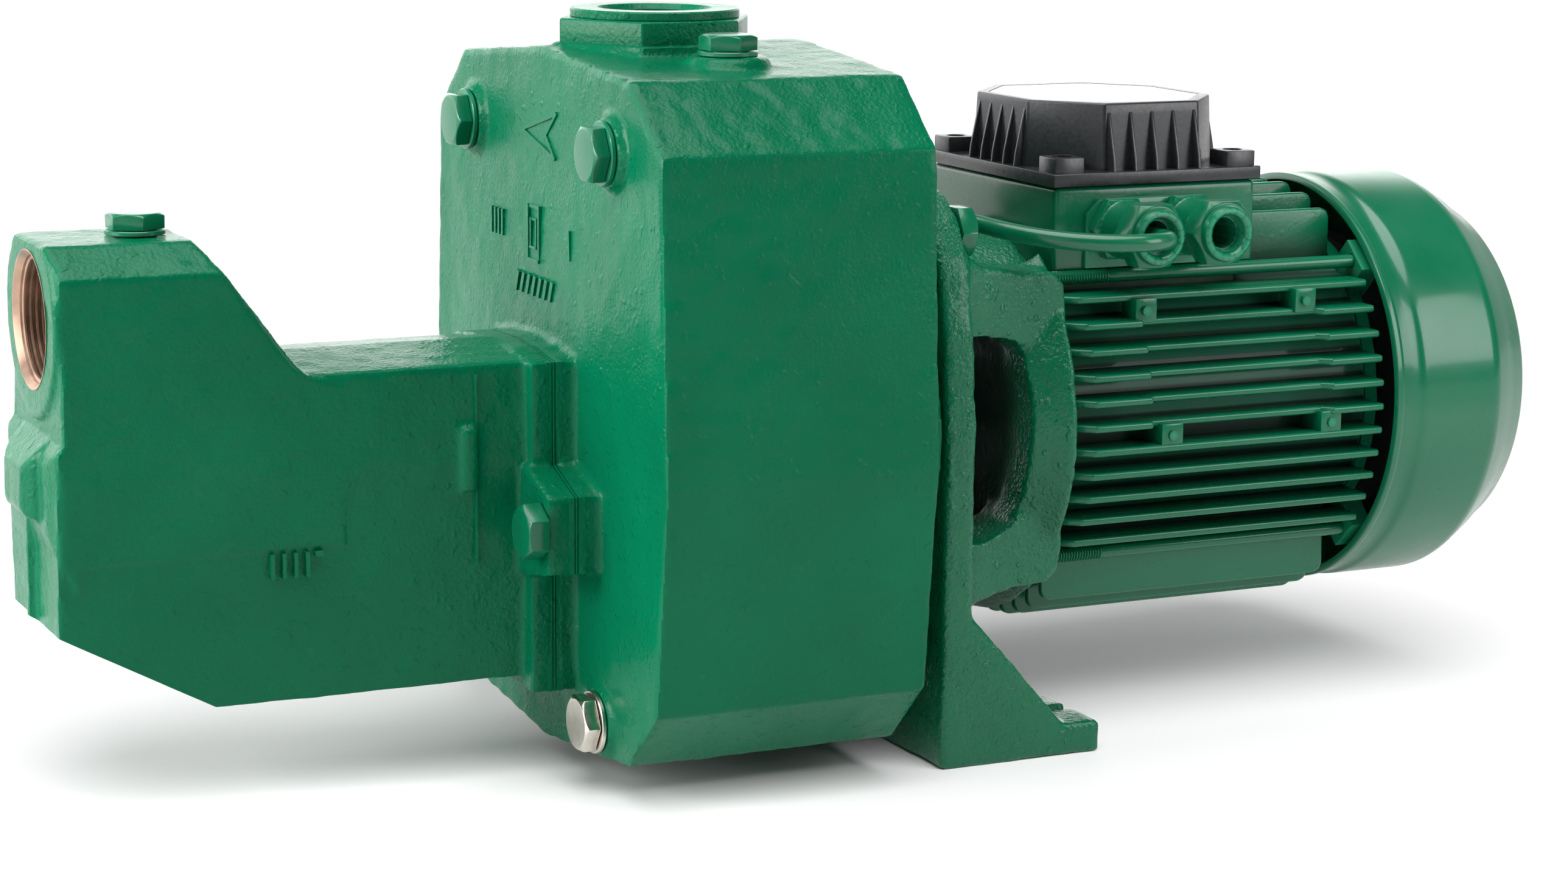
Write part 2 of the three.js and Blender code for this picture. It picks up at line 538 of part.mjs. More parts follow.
const shaft = () => turned([[-19, 0], [-19, 4.8], [-8, 4.8], [-8, 8.7], [8.2, 8.7], [8.2, 10], [45, 10],
  [45, FRONT_BEARING.bore - GAP], [84, FRONT_BEARING.bore - GAP], [84, 16], [212, 16], [212, 14],
  [REAR_BEARING.x - GAP, 14], [REAR_BEARING.x - GAP, REAR_BEARING.bore - GAP], [254, REAR_BEARING.bore - GAP],
  [254, 8.2], [287, 8.2], [287, 0]], COARSE);

const impellerNut = () => cut(hexBar(15, -16, -8), rod(-17, -7, 5.1));

const raceway = (x, pitch, ball, out) => {
  const clearance = ball + 0.7;
  const depth = 2.2;
  const half = Math.sqrt(clearance ** 2 - depth ** 2);
  const angle = THREE.MathUtils.radToDeg(Math.atan2(half, depth));
  return arc(0, 0, clearance, -angle, angle, 3).map(([c, s]) => [x + s, pitch + out * c]);
};

function bearing(size) {
  const middle = size.x + size.width / 2;
  const end = size.x + size.width;
  const pitch = (size.bore + size.outer) / 2;
  const step = 2.2;
  const inner = turned([[size.x, size.bore], [size.x, pitch - step], ...raceway(middle, pitch, size.ball, -1),
    [end, pitch - step], [end, size.bore]], 18);
  const outer = turned([[size.x, size.outer], [size.x, pitch + step], ...raceway(middle, pitch, size.ball, 1),
    [end, pitch + step], [end, size.outer]], 18);
  const balls = [];
  for (let i = 0; i < size.balls; i += 1) {
    const ball = new THREE.IcosahedronGeometry(size.ball, 0).translate(middle, pitch, 0);
    balls.push(turnedBy(ball, (360 * i) / size.balls));
  }
  const ring = tube(middle - 1.2, middle + 1.2, pitch - 1.2, pitch + 1.2, 2 * size.balls);
  const cage = join(turnedBy(ring, 90 / size.balls), ...balls);
  return { inner, outer, cage };
}

function rearShield() {
  const ears = CORNERS.map(([side, up]) => turnedBy(
    block(235.3, 245, 56, EAR_RADIUS, -8, 8),
    tieAngle(side, up),
  ));
  const seat = REAR_BEARING.outer + GAP;
  const body = join(
    turned([[229, 54], [229, 59.5], [235.3, 59.5], [235.3, 69], [241, 69], [246, 32], [255.5, 32],
      [255.5, 17], [252.5, 17], [252.5, seat], [237.5, seat], [237.5, 54]]),
    ...ears,
  );
  const holes = CORNERS.map(([side, up]) => at(
    rod(230, 250, TIE.r + GAP, 8),
    0, side * TIE.y, up * TIE.rise,
  ));
  return cut(body, ...holes);
}

function coolingFan() {
  const blades = [0, 1, 2, 3, 4, 5].map((i) => turnedBy(block(262, 284, 14, 74, -1.2, 1.2), i * 60));
  const hub = turned([[259, 8.5], [259, 60], [263, 62], [263, 18], [284, 18], [284, 8.5]], 18);
  return join(hub, ...blades);
}

function fanCover() {
  const { lip, bead, crease, rear, r, lipR, rearR, wall } = COVER;
  const skin = turned([
    [lip, lipR - wall], [lip, lipR], [bead, lipR], [bead + 2, r], [crease, r], [rear, rearR], [rear, 0],
    [rear - wall, 0], [rear - wall, rearR - 2], [crease - 1, r - wall], [bead + 2, r - wall],
    [bead, lipR - wall],
  ]);
  const slots = [];
  for (const [count, inner, outer, width] of [[8, 18, 38, 6], [12, 43, 63, 6]]) {
    for (let i = 0; i < count; i += 1) {
      slots.push(turnedBy(block(rear - 5, rear + 1, inner, outer, -width / 2, width / 2), (360 * i) / count));
    }
  }
  return cut(skin, ...slots);
}

// A tie bolt lies along X with its head behind a rear shield ear and its thread in an adapter lug.
const tieBolt = () => join(rod(TIE.front, TIE.rear + 0.5, TIE.r, 8), rod(TIE.rear, TIE.rear + 5, 5));

// ---------------------------------------------------------------- terminal box

const boxPillars = CORNERS.map(([side, end]) => [
  end > 0 ? LID.x1 - EAR.x : LID.x0 + EAR.x,
  side * (LID.y - EAR.y),
]);

// The box straddles the frame: its underside and its floor follow the round of the motor.
function terminalBox() {
  const { x0, x1, y, floor, top, wall, cableHole } = BOX;
  const saddle = at(rod(x0 - 1, x1 + 1, FRAME.core + GAP, 30), 0, 0, SHAFT_HEIGHT);
  const arch = at(rod(x0 - 1, x1 + 1, FRAME.core + wall, 30), 0, 0, SHAFT_HEIGHT);
  const inside = cut(block(x0 + wall, x1 - wall, wall - y, y - wall, floor + wall, top + 1), arch);
  const glandPad = prismY([[107, floor], [107, 212], [113, 218], [161, 218], [168, 211], [168, floor]],
    GLAND.wall, -y + 1);
  const pillars = boxPillars.map(([x, side]) => cut(
    block(x - 5, x + 5, side - 5, side + 5, floor + 2, top),
    pin(x, side, 200, top + 1, 2.2, 12),
  ));
  const glandHoles = GLAND.xs.map((x) => at(towardsNear(rod(40, 60, 8.3)), x, 0, GLAND.z));
  const tieGrooves = [-1, 1].map((side) => at(rod(x0 - 1, x1 + 1, TIE.r + 0.5, 12),
    0, side * TIE.y, SHAFT_HEIGHT + TIE.rise));
  const shell = cut(join(block(x0, x1, -y, y, floor, top), glandPad), inside, saddle);
  return cut(join(shell, ...pillars), ...glandHoles, ...tieGrooves, pin(cableHole, 0, 190, 210, 8));
}

function octagon(xMargin, yMargin, inset) {
  const x0 = LID.x0 + xMargin + inset;
  const x1 = LID.x1 - xMargin - inset;
  const y = LID.y - yMargin - inset;
  const [cx, cy] = [21.5 - 0.4 * inset, 25.5 - 0.4 * inset];
  return [[x0 + cx, -y], [x1 - cx, -y], [x1, -y + cy], [x1, y - cy], [x1 - cx, y], [x0 + cx, y], [x0, y - cy],
    [x0, -y + cy]];
}

// The lid's ribs stand on its four long faces and taper away towards the top.
function lidRibs() {
  const ribs = [];
  const [foot, head] = [LID.flange - 1, LID.top - 3];
  for (let i = -2; i <= 2; i += 1) {
    const y = i * 9.5;
    const x = (LID.x0 + LID.x1) / 2 + i * 10;
    for (const side of [-1, 1]) {
      const edgeX = side > 0 ? LID.x1 : LID.x0;
      const alongX = [[edgeX - side * 1, foot], [edgeX - side * 8, head], [edgeX - side * 12, foot]];
      ribs.push(prismY(alongX, y - RIB / 2, y + RIB / 2));
      const edgeY = side * LID.y;
      const alongY = [[edgeY - side * 1, foot], [edgeY - side * 9, head], [edgeY - side * 14, foot]];
      ribs.push(prismX(alongY, x - RIB / 2, x + RIB / 2));
    }
  }
  return ribs;
}

function lid() {
  const ears = boxPillars.map(([x, y]) => block(x - EAR.size / 2, x + EAR.size / 2, y - EAR.size / 2,
    y + EAR.size / 2, LID.flange - 1, EAR.top));
  const outside = join(
    block(LID.x0, LID.x1, -LID.y, LID.y, LID.bottom, LID.flange),
    prism('z', octagon(4.5, 6, 0), LID.flange - 1, LID.top),
    ...ears,
    ...lidRibs(),
  );
  const hollow = prism('z', octagon(4.5, 6, 2.5), LID.bottom - 1, LID.top - 2.5);
  const screwHoles = boxPillars.flatMap(([x, y]) => [
    pin(x, y, LID.bottom - 1, EAR.top + 1, 2.3, 12),
    pin(x, y, 226, EAR.top + 1, 4, 12),
  ]);
  return cut(outside, hollow, ...screwHoles);
}

const lidScrew = () => join(rod(-20, 0.5, 1.9, 8), rod(0, 2.6, 3.6, 12));
const terminalBoard = () => join(block(150, 178, -26, 26, 202.4, 210),
  ...[-18, -6, 6, 18].map((y) => block(152, 176, y - 4, y + 4, 209, 216)));
const capacitor = () => at(rod(108, 148, 13), 0, 20, 213.4);

// A gland points away from the box along -Y; its drawing starts with +X as the outward direction.
function glandBody() {
  const outside = join(
    rod(-8, 1, GLAND.thread),
    hexBar(GLAND.hex, 0, 5.5),
    rod(5, 20, 11.4),
    rod(19, 29, 9.4, 8),
  );
  return cut(outside, rod(-10, 40, GLAND.hole, 8));
}

function glandNut() {
  const length = GLAND.wall - GLAND.mouth;
  const flare = turned([[29, 0], [29, GLAND.hole + 0.4], [length - 3, GLAND.hole + 0.8], [length + 0.1, 8.8],
    [length + 0.1, 0]], COARSE);
  return cut(hexBar(GLAND.nutHex, 20.4, length), rod(19, 29.4, 9.8, 8), flare);
}

// The signal lead: out of the front gland, round to the pump end and into the adapter's plate
function signalLead() {
  const route = [LEAD.inside, [121.4, -70, 206.2], [121.4, -88, 206.2], [119.8, -96.5, 206.4],
    [112, -101.5, 206.6], [100, -101.5, 206.6], [86, -97, 207], [72, -87, 208], [62, -74, 209.5],
    [55.5, -61, 211.2], [50, -50.5, 212.8], [45.5, -45.4, 213.9], [PLATE.rear + 1.6, -43, 214.5]];
  const points = route.map((point) => new THREE.Vector3(...point));
  const curve = new THREE.CatmullRomCurve3(points, false, 'centripetal');
  const section = new THREE.Shape(arc(0, 0, LEAD.r, 0, 315, 7).map(([u, v]) => new THREE.Vector2(u, v)));
  return new THREE.ExtrudeGeometry(section, { steps: 20, extrudePath: curve, bevelEnabled: false });
}

// ---------------------------------------------------------------- assembly

const pump = new THREE.Group();
const onShaftLine = new THREE.Group();
onShaftLine.position.z = SHAFT_HEIGHT;
pump.add(onShaftLine);

pump.add(
  piece('nose_casting', noseCasting(), 'castPaint'),
  piece('nose_gasket', noseGasket(), 'fibre'),
  piece('pump_body', pumpBody(), 'castPaint'),
  piece('adapter', adapter(), 'castPaint'),
  piece('terminal_box', terminalBox(), 'paint'),
  piece('terminal_box_lid', lid(), 'black'),
  piece('terminal_board', terminalBoard(), 'plastic'),
  piece('run_capacitor', capacitor(), 'plastic'),
  piece('signal_lead', signalLead(), 'paint'),
);

// Hex plugs stand on their washers, and each washer on its seat.
function addPlug(name, size, finish, turn, seat, outward) {
  const lift = (distance) => seat.map((value, i) => value + outward[i] * distance);
  pump.add(
    placed(turn(piece(`${name}_washer`, flatWasher(size), finish)), ...lift(GAP)),
    placed(turn(piece(name, hexPlug(size), finish)), ...lift(2 * GAP + WASHER)),
  );
}
const UP = [0, 0, 1];
const FORWARD = [-1, 0, 0];
addPlug('nose_plug', SMALL_PLUG, 'paint', faceUp, [-266.5, 0, 215.2], UP);
addPlug('priming_plug', SMALL_PLUG, 'paint', faceUp, [PRIMING.x, PRIMING.y, PRIMING.seat], UP);
addPlug('drain_plug', LARGE_PLUG, 'nickel', faceForward, [FRONT_SEAT, ...DRAIN], FORWARD);
for (const [side, spot] of Object.entries(FRONT_PLUGS)) {
  addPlug(`front_plug_${side}`, LARGE_PLUG, 'paint', faceForward, [FRONT_SEAT, ...spot], FORWARD);
}

for (const [side, y] of [['near', -NOSE_BOLT.y], ['far', NOSE_BOLT.y]]) {
  const bolt = piece(`nose_bolt_${side}`, hexBolt(NOSE_BOLT, 30), 'paint');
  pump.add(placed(faceForward(bolt), NOSE_BOLT.seat - GAP, y, NOSE_BOLT.z));
}

for (const [side, up] of CORNERS) {
  const corner = `${up > 0 ? 'upper' : 'lower'}_${side < 0 ? 'near' : 'far'}`;
  const adapterBolt = piece(`adapter_bolt_${corner}`, hexBolt(ADAPTER_BOLT), 'paint');
  onShaftLine.add(placed(adapterBolt, PLATE.rear + GAP, side * ADAPTER_BOLT.y, up * ADAPTER_BOLT.rise));
  onShaftLine.add(placed(piece(`tie_bolt_${corner}`, tieBolt(), 'paint'), 0, side * TIE.y, up * TIE.rise));
}

const front = bearing(FRONT_BEARING);
const rear = bearing(REAR_BEARING);
onShaftLine.add(
  piece('ejector_nozzle', nozzle(), 'nozzle'),
  piece('venturi_tube', venturi(), 'nozzle'),
  piece('diffuser', diffuser(), 'nozzle'),
  piece('impeller', impeller(), 'brass'),
  piece('impeller_nut', impellerNut(), 'stainless'),
  piece('seal_disc', sealDisc(), 'stainless'),
  piece('seal_seat', sealSeat(), 'graphite'),
  piece('seal_rotary', sealRotary(), 'stainless'),
  piece('motor_frame', motorFrame(), 'paint'),
  piece('stator_core', statorCore(), 'lamination'),
  piece('winding_front', winding(STACK.front, -1), 'copper'),
  piece('winding_rear', winding(STACK.rear, 1), 'copper'),
  piece('rotor_core', rotorCore(), 'aluminium'),
  piece('shaft', shaft(), 'stainless'),
  piece('front_bearing_inner', front.inner, 'steel'),
  piece('front_bearing_outer', front.outer, 'steel'),
  piece('front_bearing_cage', front.cage, 'steel'),
  piece('rear_bearing_inner', rear.inner, 'steel'),
  piece('rear_bearing_outer', rear.outer, 'steel'),
  piece('rear_bearing_cage', rear.cage, 'steel'),
  piece('rear_shield', rearShield(), 'paint'),
  piece('cooling_fan', coolingFan(), 'plastic'),
  piece('fan_cover', fanCover(), 'paint'),
);

boxPillars.forEach(([x, y], i) => {
  pump.add(placed(faceUp(piece(`lid_screw_${i + 1}`, lidScrew(), 'steel')), x, y, 226 + GAP));
});

GLAND.xs.forEach((x, i) => {
  for (const [name, shape] of [['body', glandBody()], ['nut', glandNut()]]) {
    const mesh = piece(`gland_${i + 1}_${name}`, shape, 'paint');
    mesh.rotation.z = -Math.PI / 2;
    pump.add(placed(mesh, x, GLAND.wall - GAP, GLAND.z));
  }
});

export default pump;
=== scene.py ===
"""Looks of the shallow well jet pump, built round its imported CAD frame.

Pieces are drawn in millimetres in the frame's axes; the camera, the lights and Blender itself work in metres.
"""

import json
import math

import bmesh
import bpy
from mathutils import Matrix, Vector


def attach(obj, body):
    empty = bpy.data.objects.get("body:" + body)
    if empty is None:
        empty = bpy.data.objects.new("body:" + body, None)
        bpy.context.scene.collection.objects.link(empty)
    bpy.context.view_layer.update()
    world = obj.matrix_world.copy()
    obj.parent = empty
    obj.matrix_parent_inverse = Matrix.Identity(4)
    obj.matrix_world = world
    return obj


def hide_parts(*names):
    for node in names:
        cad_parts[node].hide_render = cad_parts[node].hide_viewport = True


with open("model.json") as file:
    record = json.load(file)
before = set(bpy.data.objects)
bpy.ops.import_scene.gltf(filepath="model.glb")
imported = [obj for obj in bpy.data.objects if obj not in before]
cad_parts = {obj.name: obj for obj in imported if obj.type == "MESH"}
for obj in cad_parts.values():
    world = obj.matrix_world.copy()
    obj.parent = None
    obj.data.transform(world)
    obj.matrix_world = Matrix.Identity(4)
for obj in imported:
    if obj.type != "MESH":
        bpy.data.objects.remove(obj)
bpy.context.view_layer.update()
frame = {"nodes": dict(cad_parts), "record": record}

MM = 0.001
SHAFT_Z = 130.0
ORIGIN = (0, 0, 0)
# For a turned piece, the axes that take the distance along it and the two across it.
TURNING_AXES = {"x": (0, 1, 2), "y": (1, 2, 0), "z": (2, 0, 1)}
# For a prism, the point that (u, v) of its outline makes at a distance w along its axis.
PRISM_POINT = {
    "x": lambda u, v, w: (w, u, v),
    "y": lambda u, v, w: (u, w, v),
    "z": lambda u, v, w: (u, v, w),
}

# ---------------------------------------------------------------- mesh helpers


def link(name, mesh):
    made = bpy.data.objects.new(name, mesh)
    bpy.context.scene.collection.objects.link(made)
    return made


def from_faces(name, verts_mm, faces):
    mesh = bpy.data.meshes.new(name)
    mesh.from_pydata([(x * MM, y * MM, z * MM) for x, y, z in verts_mm], [], faces)
    bm = bmesh.new()
    bm.from_mesh(mesh)
    bmesh.ops.recalc_face_normals(bm, faces=bm.faces)
    bm.to_mesh(mesh)
    bm.free()
    return link(name, mesh)


def between(low, high):
    """The closed solid between two outlines with equally many corners."""
    count = len(low)
    faces = [list(range(count)), list(range(count, 2 * count))]
    faces += [[i, (i + 1) % count, count + (i + 1) % count, count + i] for i in range(count)]
    return from_faces("prism", low + high, faces)


def prism(outline, axis, lo, hi):
    """outline in the two other axes, taken in X, Y, Z order."""
    point = PRISM_POINT[axis]
    return between([point(u, v, lo) for u, v in outline], [point(u, v, hi) for u, v in outline])


def tapered(low, high, z0, z1):
    return between([(x, y, z0) for x, y in low], [(x, y, z1) for x, y in high])


def hexagon(corner, start=0, middle=0.0):
    """Six corners round (middle, 0), the first at `start` degrees."""
    angles = [math.radians(a + start) for a in range(0, 360, 60)]
    return [(middle + corner * math.cos(a), corner * math.sin(a)) for a in angles]


def lathe(profile, sides=96, axis="x", at=(0.0, 0.0, SHAFT_Z)):
    """profile: (distance along the axis, radius); a loop, or open with radius 0 at both ends."""
    order = TURNING_AXES[axis]
    verts, rings = [], []
    for along, radius in profile:
        ring = []
        for i in range(1 if radius == 0 else sides):
            angle = 2 * math.pi * i / sides
            local = (along, radius * math.cos(angle), radius * math.sin(angle))
            point = [0.0, 0.0, 0.0]
            for j in range(3):
                point[order[j]] = local[j]
            ring.append(len(verts))
            verts.append([point[j] + at[j] for j in range(3)])
        rings.append(ring)
    faces = []
    is_loop = profile[0][1] != 0
    following = rings[1:] + rings[:1] if is_loop else rings[1:]
    for a, b in zip(rings, following):
        if len(a) == 1 and len(b) == 1:
            continue
        for i in range(sides):
            j = (i + 1) % sides
            if len(a) == 1:
                faces.append([a[0], b[i], b[j]])
            elif len(b) == 1:
                faces.append([a[i], b[0], a[j]])
            else:
                faces.append([a[i], b[i], b[j], a[j]])
    return from_faces("turned", verts, faces)


def rod(lo, hi, radius, axis="x", at=(0.0, 0.0, SHAFT_Z), sides=64):
    return lathe([(lo, 0), (lo, radius), (hi, radius), (hi, 0)], sides, axis, at)


def block(x0, x1, y0, y1, z0, z1):
    return prism([(x0, y0), (x1, y0), (x1, y1), (x0, y1)], "z", z0, z1)


def span(side, inner, outer):
    """Low and high end of a stretch on one side of the middle plane; side is -1 or 1."""
    return sorted((side * inner, side * outer))


def apply_modifiers(obj):
    depsgraph = bpy.context.evaluated_depsgraph_get()
    mesh = bpy.data.meshes.new_from_object(obj.evaluated_get(depsgraph))
    old = obj.data
    obj.modifiers.clear()
    obj.data = mesh
    bpy.data.meshes.remove(old)
    return obj


def bevelled(obj, width_mm, segments=2, angle=30):
    mod = obj.modifiers.new("bevel", "BEVEL")
    mod.width = width_mm * MM
    mod.segments = segments
    mod.limit_method = "ANGLE"
    mod.angle_limit = math.radians(angle)
    mod.use_clamp_overlap = True
    return apply_modifiers(obj)


def merged(parts):
    """One object from several, still separate shells."""
    bm = bmesh.new()
    for part in parts:
        part.data.transform(part.matrix_world)
        bm.from_mesh(part.data)
        remove(part)
    mesh = bpy.data.meshes.new("merged")
    bm.to_mesh(mesh)
    bm.free()
    return link("merged", mesh)


def remove(obj):
    mesh = obj.data
    bpy.data.objects.remove(obj)
    if mesh.users == 0:
        bpy.data.meshes.remove(mesh)


def combine(target, tools, operation):
    """Solid union, difference or intersection of closed meshes."""
    for tool in tools:
        mod = target.modifiers.new("solid", "BOOLEAN")
        mod.operation = operation
        mod.solver = "MANIFOLD"
        mod.object = tool
        apply_modifiers(target)
        remove(tool)
    return target


def cut(target, *tools):
    return combine(target, tools, "DIFFERENCE")


def join(target, *tools):
    return combine(target, tools, "UNION")


def common(target, tool):
    return combine(target, [tool], "INTERSECT")


def turned_about_shaft(obj, degrees):
    """Turns an object drawn round the shaft line by an angle about it."""
    centre = Matrix.Translation((0, 0, SHAFT_Z * MM))
    obj.data.transform(centre @ Matrix.Rotation(math.radians(degrees), 4, "X") @ centre.inverted())
    return obj


def cast(obj, voxel_mm, rounds, waves=(), keep=1.0):
    """Rounds a sharp solid off all over, like sand-cast iron, and keeps a share of its faces.

    waves are (height in millimetres, size in metres) of its unevenness.
    """
    remesh = obj.modifiers.new("voxels", "REMESH")
    remesh.mode = "VOXEL"
    remesh.voxel_size = voxel_mm * MM
    smooth = obj.modifiers.new("round", "SMOOTH")
    smooth.factor = 0.5
    smooth.iterations = rounds
    for height, size in waves:
        clouds = bpy.data.textures.new("casting_wave", "CLOUDS")
        clouds.noise_scale = size
        clouds.noise_depth = 1
        wave = obj.modifiers.new("wave", "DISPLACE")
        wave.texture = clouds
        wave.texture_coords = "GLOBAL"
        wave.mid_level = 0.5
        wave.strength = height * MM
    if keep < 1:
        fewer = obj.modifiers.new("fewer", "DECIMATE")
        fewer.ratio = keep
    return apply_modifiers(obj)


def shaded(obj, angle=32):
    obj.data.shade_smooth()
    obj.data.set_sharp_from_angle(angle=math.radians(angle))
    return obj


def mirrored(half):
    """A whole outline from its half on the far side of the middle line."""
    return half + [(-u, v) for u, v in reversed(half) if u > 0]


def finish_piece(obj, name, body, material, replaces=(), angle=32):
    obj.name = name
    obj.data.name = name
    obj.data.materials.clear()
    obj.data.materials.append(material)
    if obj.type == "MESH":
        shaded(obj, angle)
    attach(obj, body)
    if replaces:
        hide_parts(*replaces)
    return obj


# ---------------------------------------------------------------- materials


RANGE_INPUTS = ("From Min", "From Max", "To Min", "To Max")


class Nodes:
    """Short calls that build one material's node tree."""

    def __init__(self, name, **inputs):
        self.material = bpy.data.materials.new(name)
        self.material.use_nodes = True
        self.tree = self.material.node_tree
        self.shader = self.tree.nodes["Principled BSDF"]
        for key, value in inputs.items():
            self.shader.inputs[key.replace("_", " ")].default_value = value
        self.coords = self.add("ShaderNodeTexCoord").outputs["Object"]

    def add(self, kind, **props):
        node = self.tree.nodes.new(kind)
        for key, value in props.items():
            setattr(node, key, value)
        return node

    def wire(self, source, target):
        self.tree.links.new(source, target)

    def noise(self, size_mm, detail=2.0, rough=0.5, stretch=None):
        node = self.add("ShaderNodeTexNoise")
        node.inputs["Scale"].default_value = 1000.0 / size_mm
        node.inputs["Detail"].default_value = detail
        node.inputs["Roughness"].default_value = rough
        source = self.coords
        if stretch:
            mapping = self.add("ShaderNodeMapping")
            mapping.inputs["Scale"].default_value = stretch
            self.wire(source, mapping.inputs["Vector"])
            source = mapping.outputs["Vector"]
        self.wire(source, node.inputs["Vector"])
        return node.outputs["Fac"]

    def ramp(self, source, low, high, low_value=0.0, high_value=1.0):
        node = self.add("ShaderNodeMapRange")
        for key, value in zip(RANGE_INPUTS, (low, high, low_value, high_value)):
            node.inputs[key].default_value = value
        self.wire(source, node.inputs["Value"])
        return node.outputs["Result"]

    def math(self, operation, a, b):
        node = self.add("ShaderNodeMath", operation=operation)
        for value, socket in ((a, node.inputs[0]), (b, node.inputs[1])):
            if isinstance(value, float):
                socket.default_value = value
            else:
                self.wire(value, socket)
        return node.outputs["Value"]

    def mix(self, factor, a, b):
        node = self.add("ShaderNodeMix", data_type="RGBA")
        for value, socket in ((factor, node.inputs[0]), (a, node.inputs[6]), (b, node.inputs[7])):
            if isinstance(value, (float, tuple)):
                socket.default_value = value
            else:
                self.wire(value, socket)
        return node.outputs[2]

    def edges(self):
        """1 on sharp outer edges, where a lighter green is painted on as a highlight."""
        geometry = self.add("ShaderNodeNewGeometry")
        return self.ramp(geometry.outputs["Pointiness"], 0.54, 0.62)

    def near_shaft(self, low_mm, high_mm):
        """0 at the first distance from the shaft line, 1 at the second."""
        axes = self.add("ShaderNodeSeparateXYZ")
        self.wire(self.coords, axes.inputs["Vector"])
        across = self.math("MULTIPLY", axes.outputs["Y"], axes.outputs["Y"])
        rise = self.math("SUBTRACT", axes.outputs["Z"], SHAFT_Z * MM)
        squares = self.math("ADD", across, self.math("MULTIPLY", rise, rise))
        return self.ramp(self.math("SQRT", squares, 0.0), low_mm * MM, high_mm * MM)

    def bump(self, height, distance_mm, after=None):
        node = self.add("ShaderNodeBump")
        node.inputs["Distance"].default_value = distance_mm * MM
        node.inputs["Strength"].default_value = 1.0
        self.wire(height, node.inputs["Height"])
        if after is not None:
            self.wire(after, node.inputs["Normal"])
        return node.outputs["Normal"]

    def done(self, color, roughness, normal):
        for source, key in ((color, "Base Color"), (roughness, "Roughness"), (normal, "Normal")):
            self.wire(source, self.shader.inputs[key])
        return self.material


GREEN = (0.0006, 0.124, 0.055, 1.0)
GREEN_DEEP = (0.0005, 0.109, 0.048, 1.0)
# Painted highlight, put on sharp edges:
GREEN_EDGE_HIGHLIGHT = (0.02, 0.26, 0.14, 1.0)
# Painted shade, put near the shaft line:
GREEN_SHADE = (0.002, 0.026, 0.014, 1.0)


def green_paint(name, grain_mm, grain_depth_mm, roughness, coat, edge, specular, shade_near_shaft=None):
    """Thick green enamel; grain is the rough skin of the casting showing through it.

    The last argument holds two distances from the shaft line in mm: inside the first the colour is painted
    shade (GREEN_SHADE) and the finish duller, past the second the paint is plain.
    """
    n = Nodes(name, Coat_Weight=coat, Coat_Roughness=0.12, Specular_IOR_Level=specular)
    color = n.mix(n.ramp(n.noise(60, 3), 0.35, 0.65), GREEN_DEEP, GREEN)
    outer = n.near_shaft(*shade_near_shaft) if shade_near_shaft else None
    if shade_near_shaft:
        # Painted shade: dark green near the shaft line, where the fin roots and the inside of the adapter's
        # ring lie in shade.
        color = n.mix(outer, GREEN_SHADE, color)
    # Painted highlight: a lighter green on sharp outer edges, as much as `edge` says.
    color = n.mix(n.math("MULTIPLY", n.edges(), edge), color, GREEN_EDGE_HIGHLIGHT)
    rough = n.ramp(n.noise(20, 4), 0.3, 0.7, roughness - 0.05, roughness + 0.06)
    if shade_near_shaft:
        rough = n.math("ADD", rough, n.ramp(outer, 0.0, 1.0, 0.5, 0.0))
    where = n.ramp(n.noise(45, 2), 0.38, 0.6, 0.45, 1.0)
    grain = n.math("MULTIPLY", n.noise(grain_mm, 2, 0.55), where)
    blisters = n.ramp(n.noise(grain_mm * 2.6, 1), 0.62, 0.74)
    coarse = n.bump(blisters, grain_depth_mm * 0.5)
    return n.done(color, rough, n.bump(grain, grain_depth_mm, after=coarse))


def plain_material(name, color, roughness, metallic=0.0, grain_mm=6.0, depth_mm=0.02, contrast=0.12,
                   stretch=None):
    n = Nodes(name, Metallic=metallic)
    tone = n.noise(grain_mm * 4, 3, stretch=stretch)
    dark = tuple(c * (1 - contrast) for c in color[:3]) + (1.0,)
    light = tuple(min(1.0, c * (1 + contrast)) for c in color[:3]) + (1.0,)
    shade = n.mix(n.ramp(tone, 0.3, 0.7), dark, light)
    rough = n.ramp(n.noise(grain_mm, 4, stretch=stretch), 0.3, 0.7, roughness * 0.85, roughness * 1.15)
    normal = n.bump(n.noise(grain_mm, 3, stretch=stretch), depth_mm)
    return n.done(shade, rough, normal)


CAST_GREEN = green_paint("cast_green_enamel", 1.6, 0.5, 0.24, 0.10, edge=0.10, specular=0.08)
# ROUGH_GREEN paints shade inside the adapter's ring, FRAME_GREEN between the fin roots on the frame's core.
ROUGH_GREEN = green_paint("rough_green_enamel", 1.7, 0.9, 0.24, 0.1, edge=0.25, specular=0.3, shade_near_shaft=(58, 70))
SMOOTH_GREEN = green_paint("green_enamel", 1.4, 0.05, 0.26, 0.3, edge=0.6, specular=0.3)
FRAME_GREEN = green_paint("shade_painted_green_enamel", 1.6, 0.10, 0.24, 0.2, edge=0.6, specular=0.3, shade_near_shaft=(68, 79))
SHEET_GREEN = green_paint("sheet_green_enamel", 1.2, 0.02, 0.30, 0.45, edge=0.3, specular=0.3)
LID_BLACK = plain_material("black_moulding", (0.014, 0.015, 0.018), 0.30, grain_mm=1.6, depth_mm=0.03)
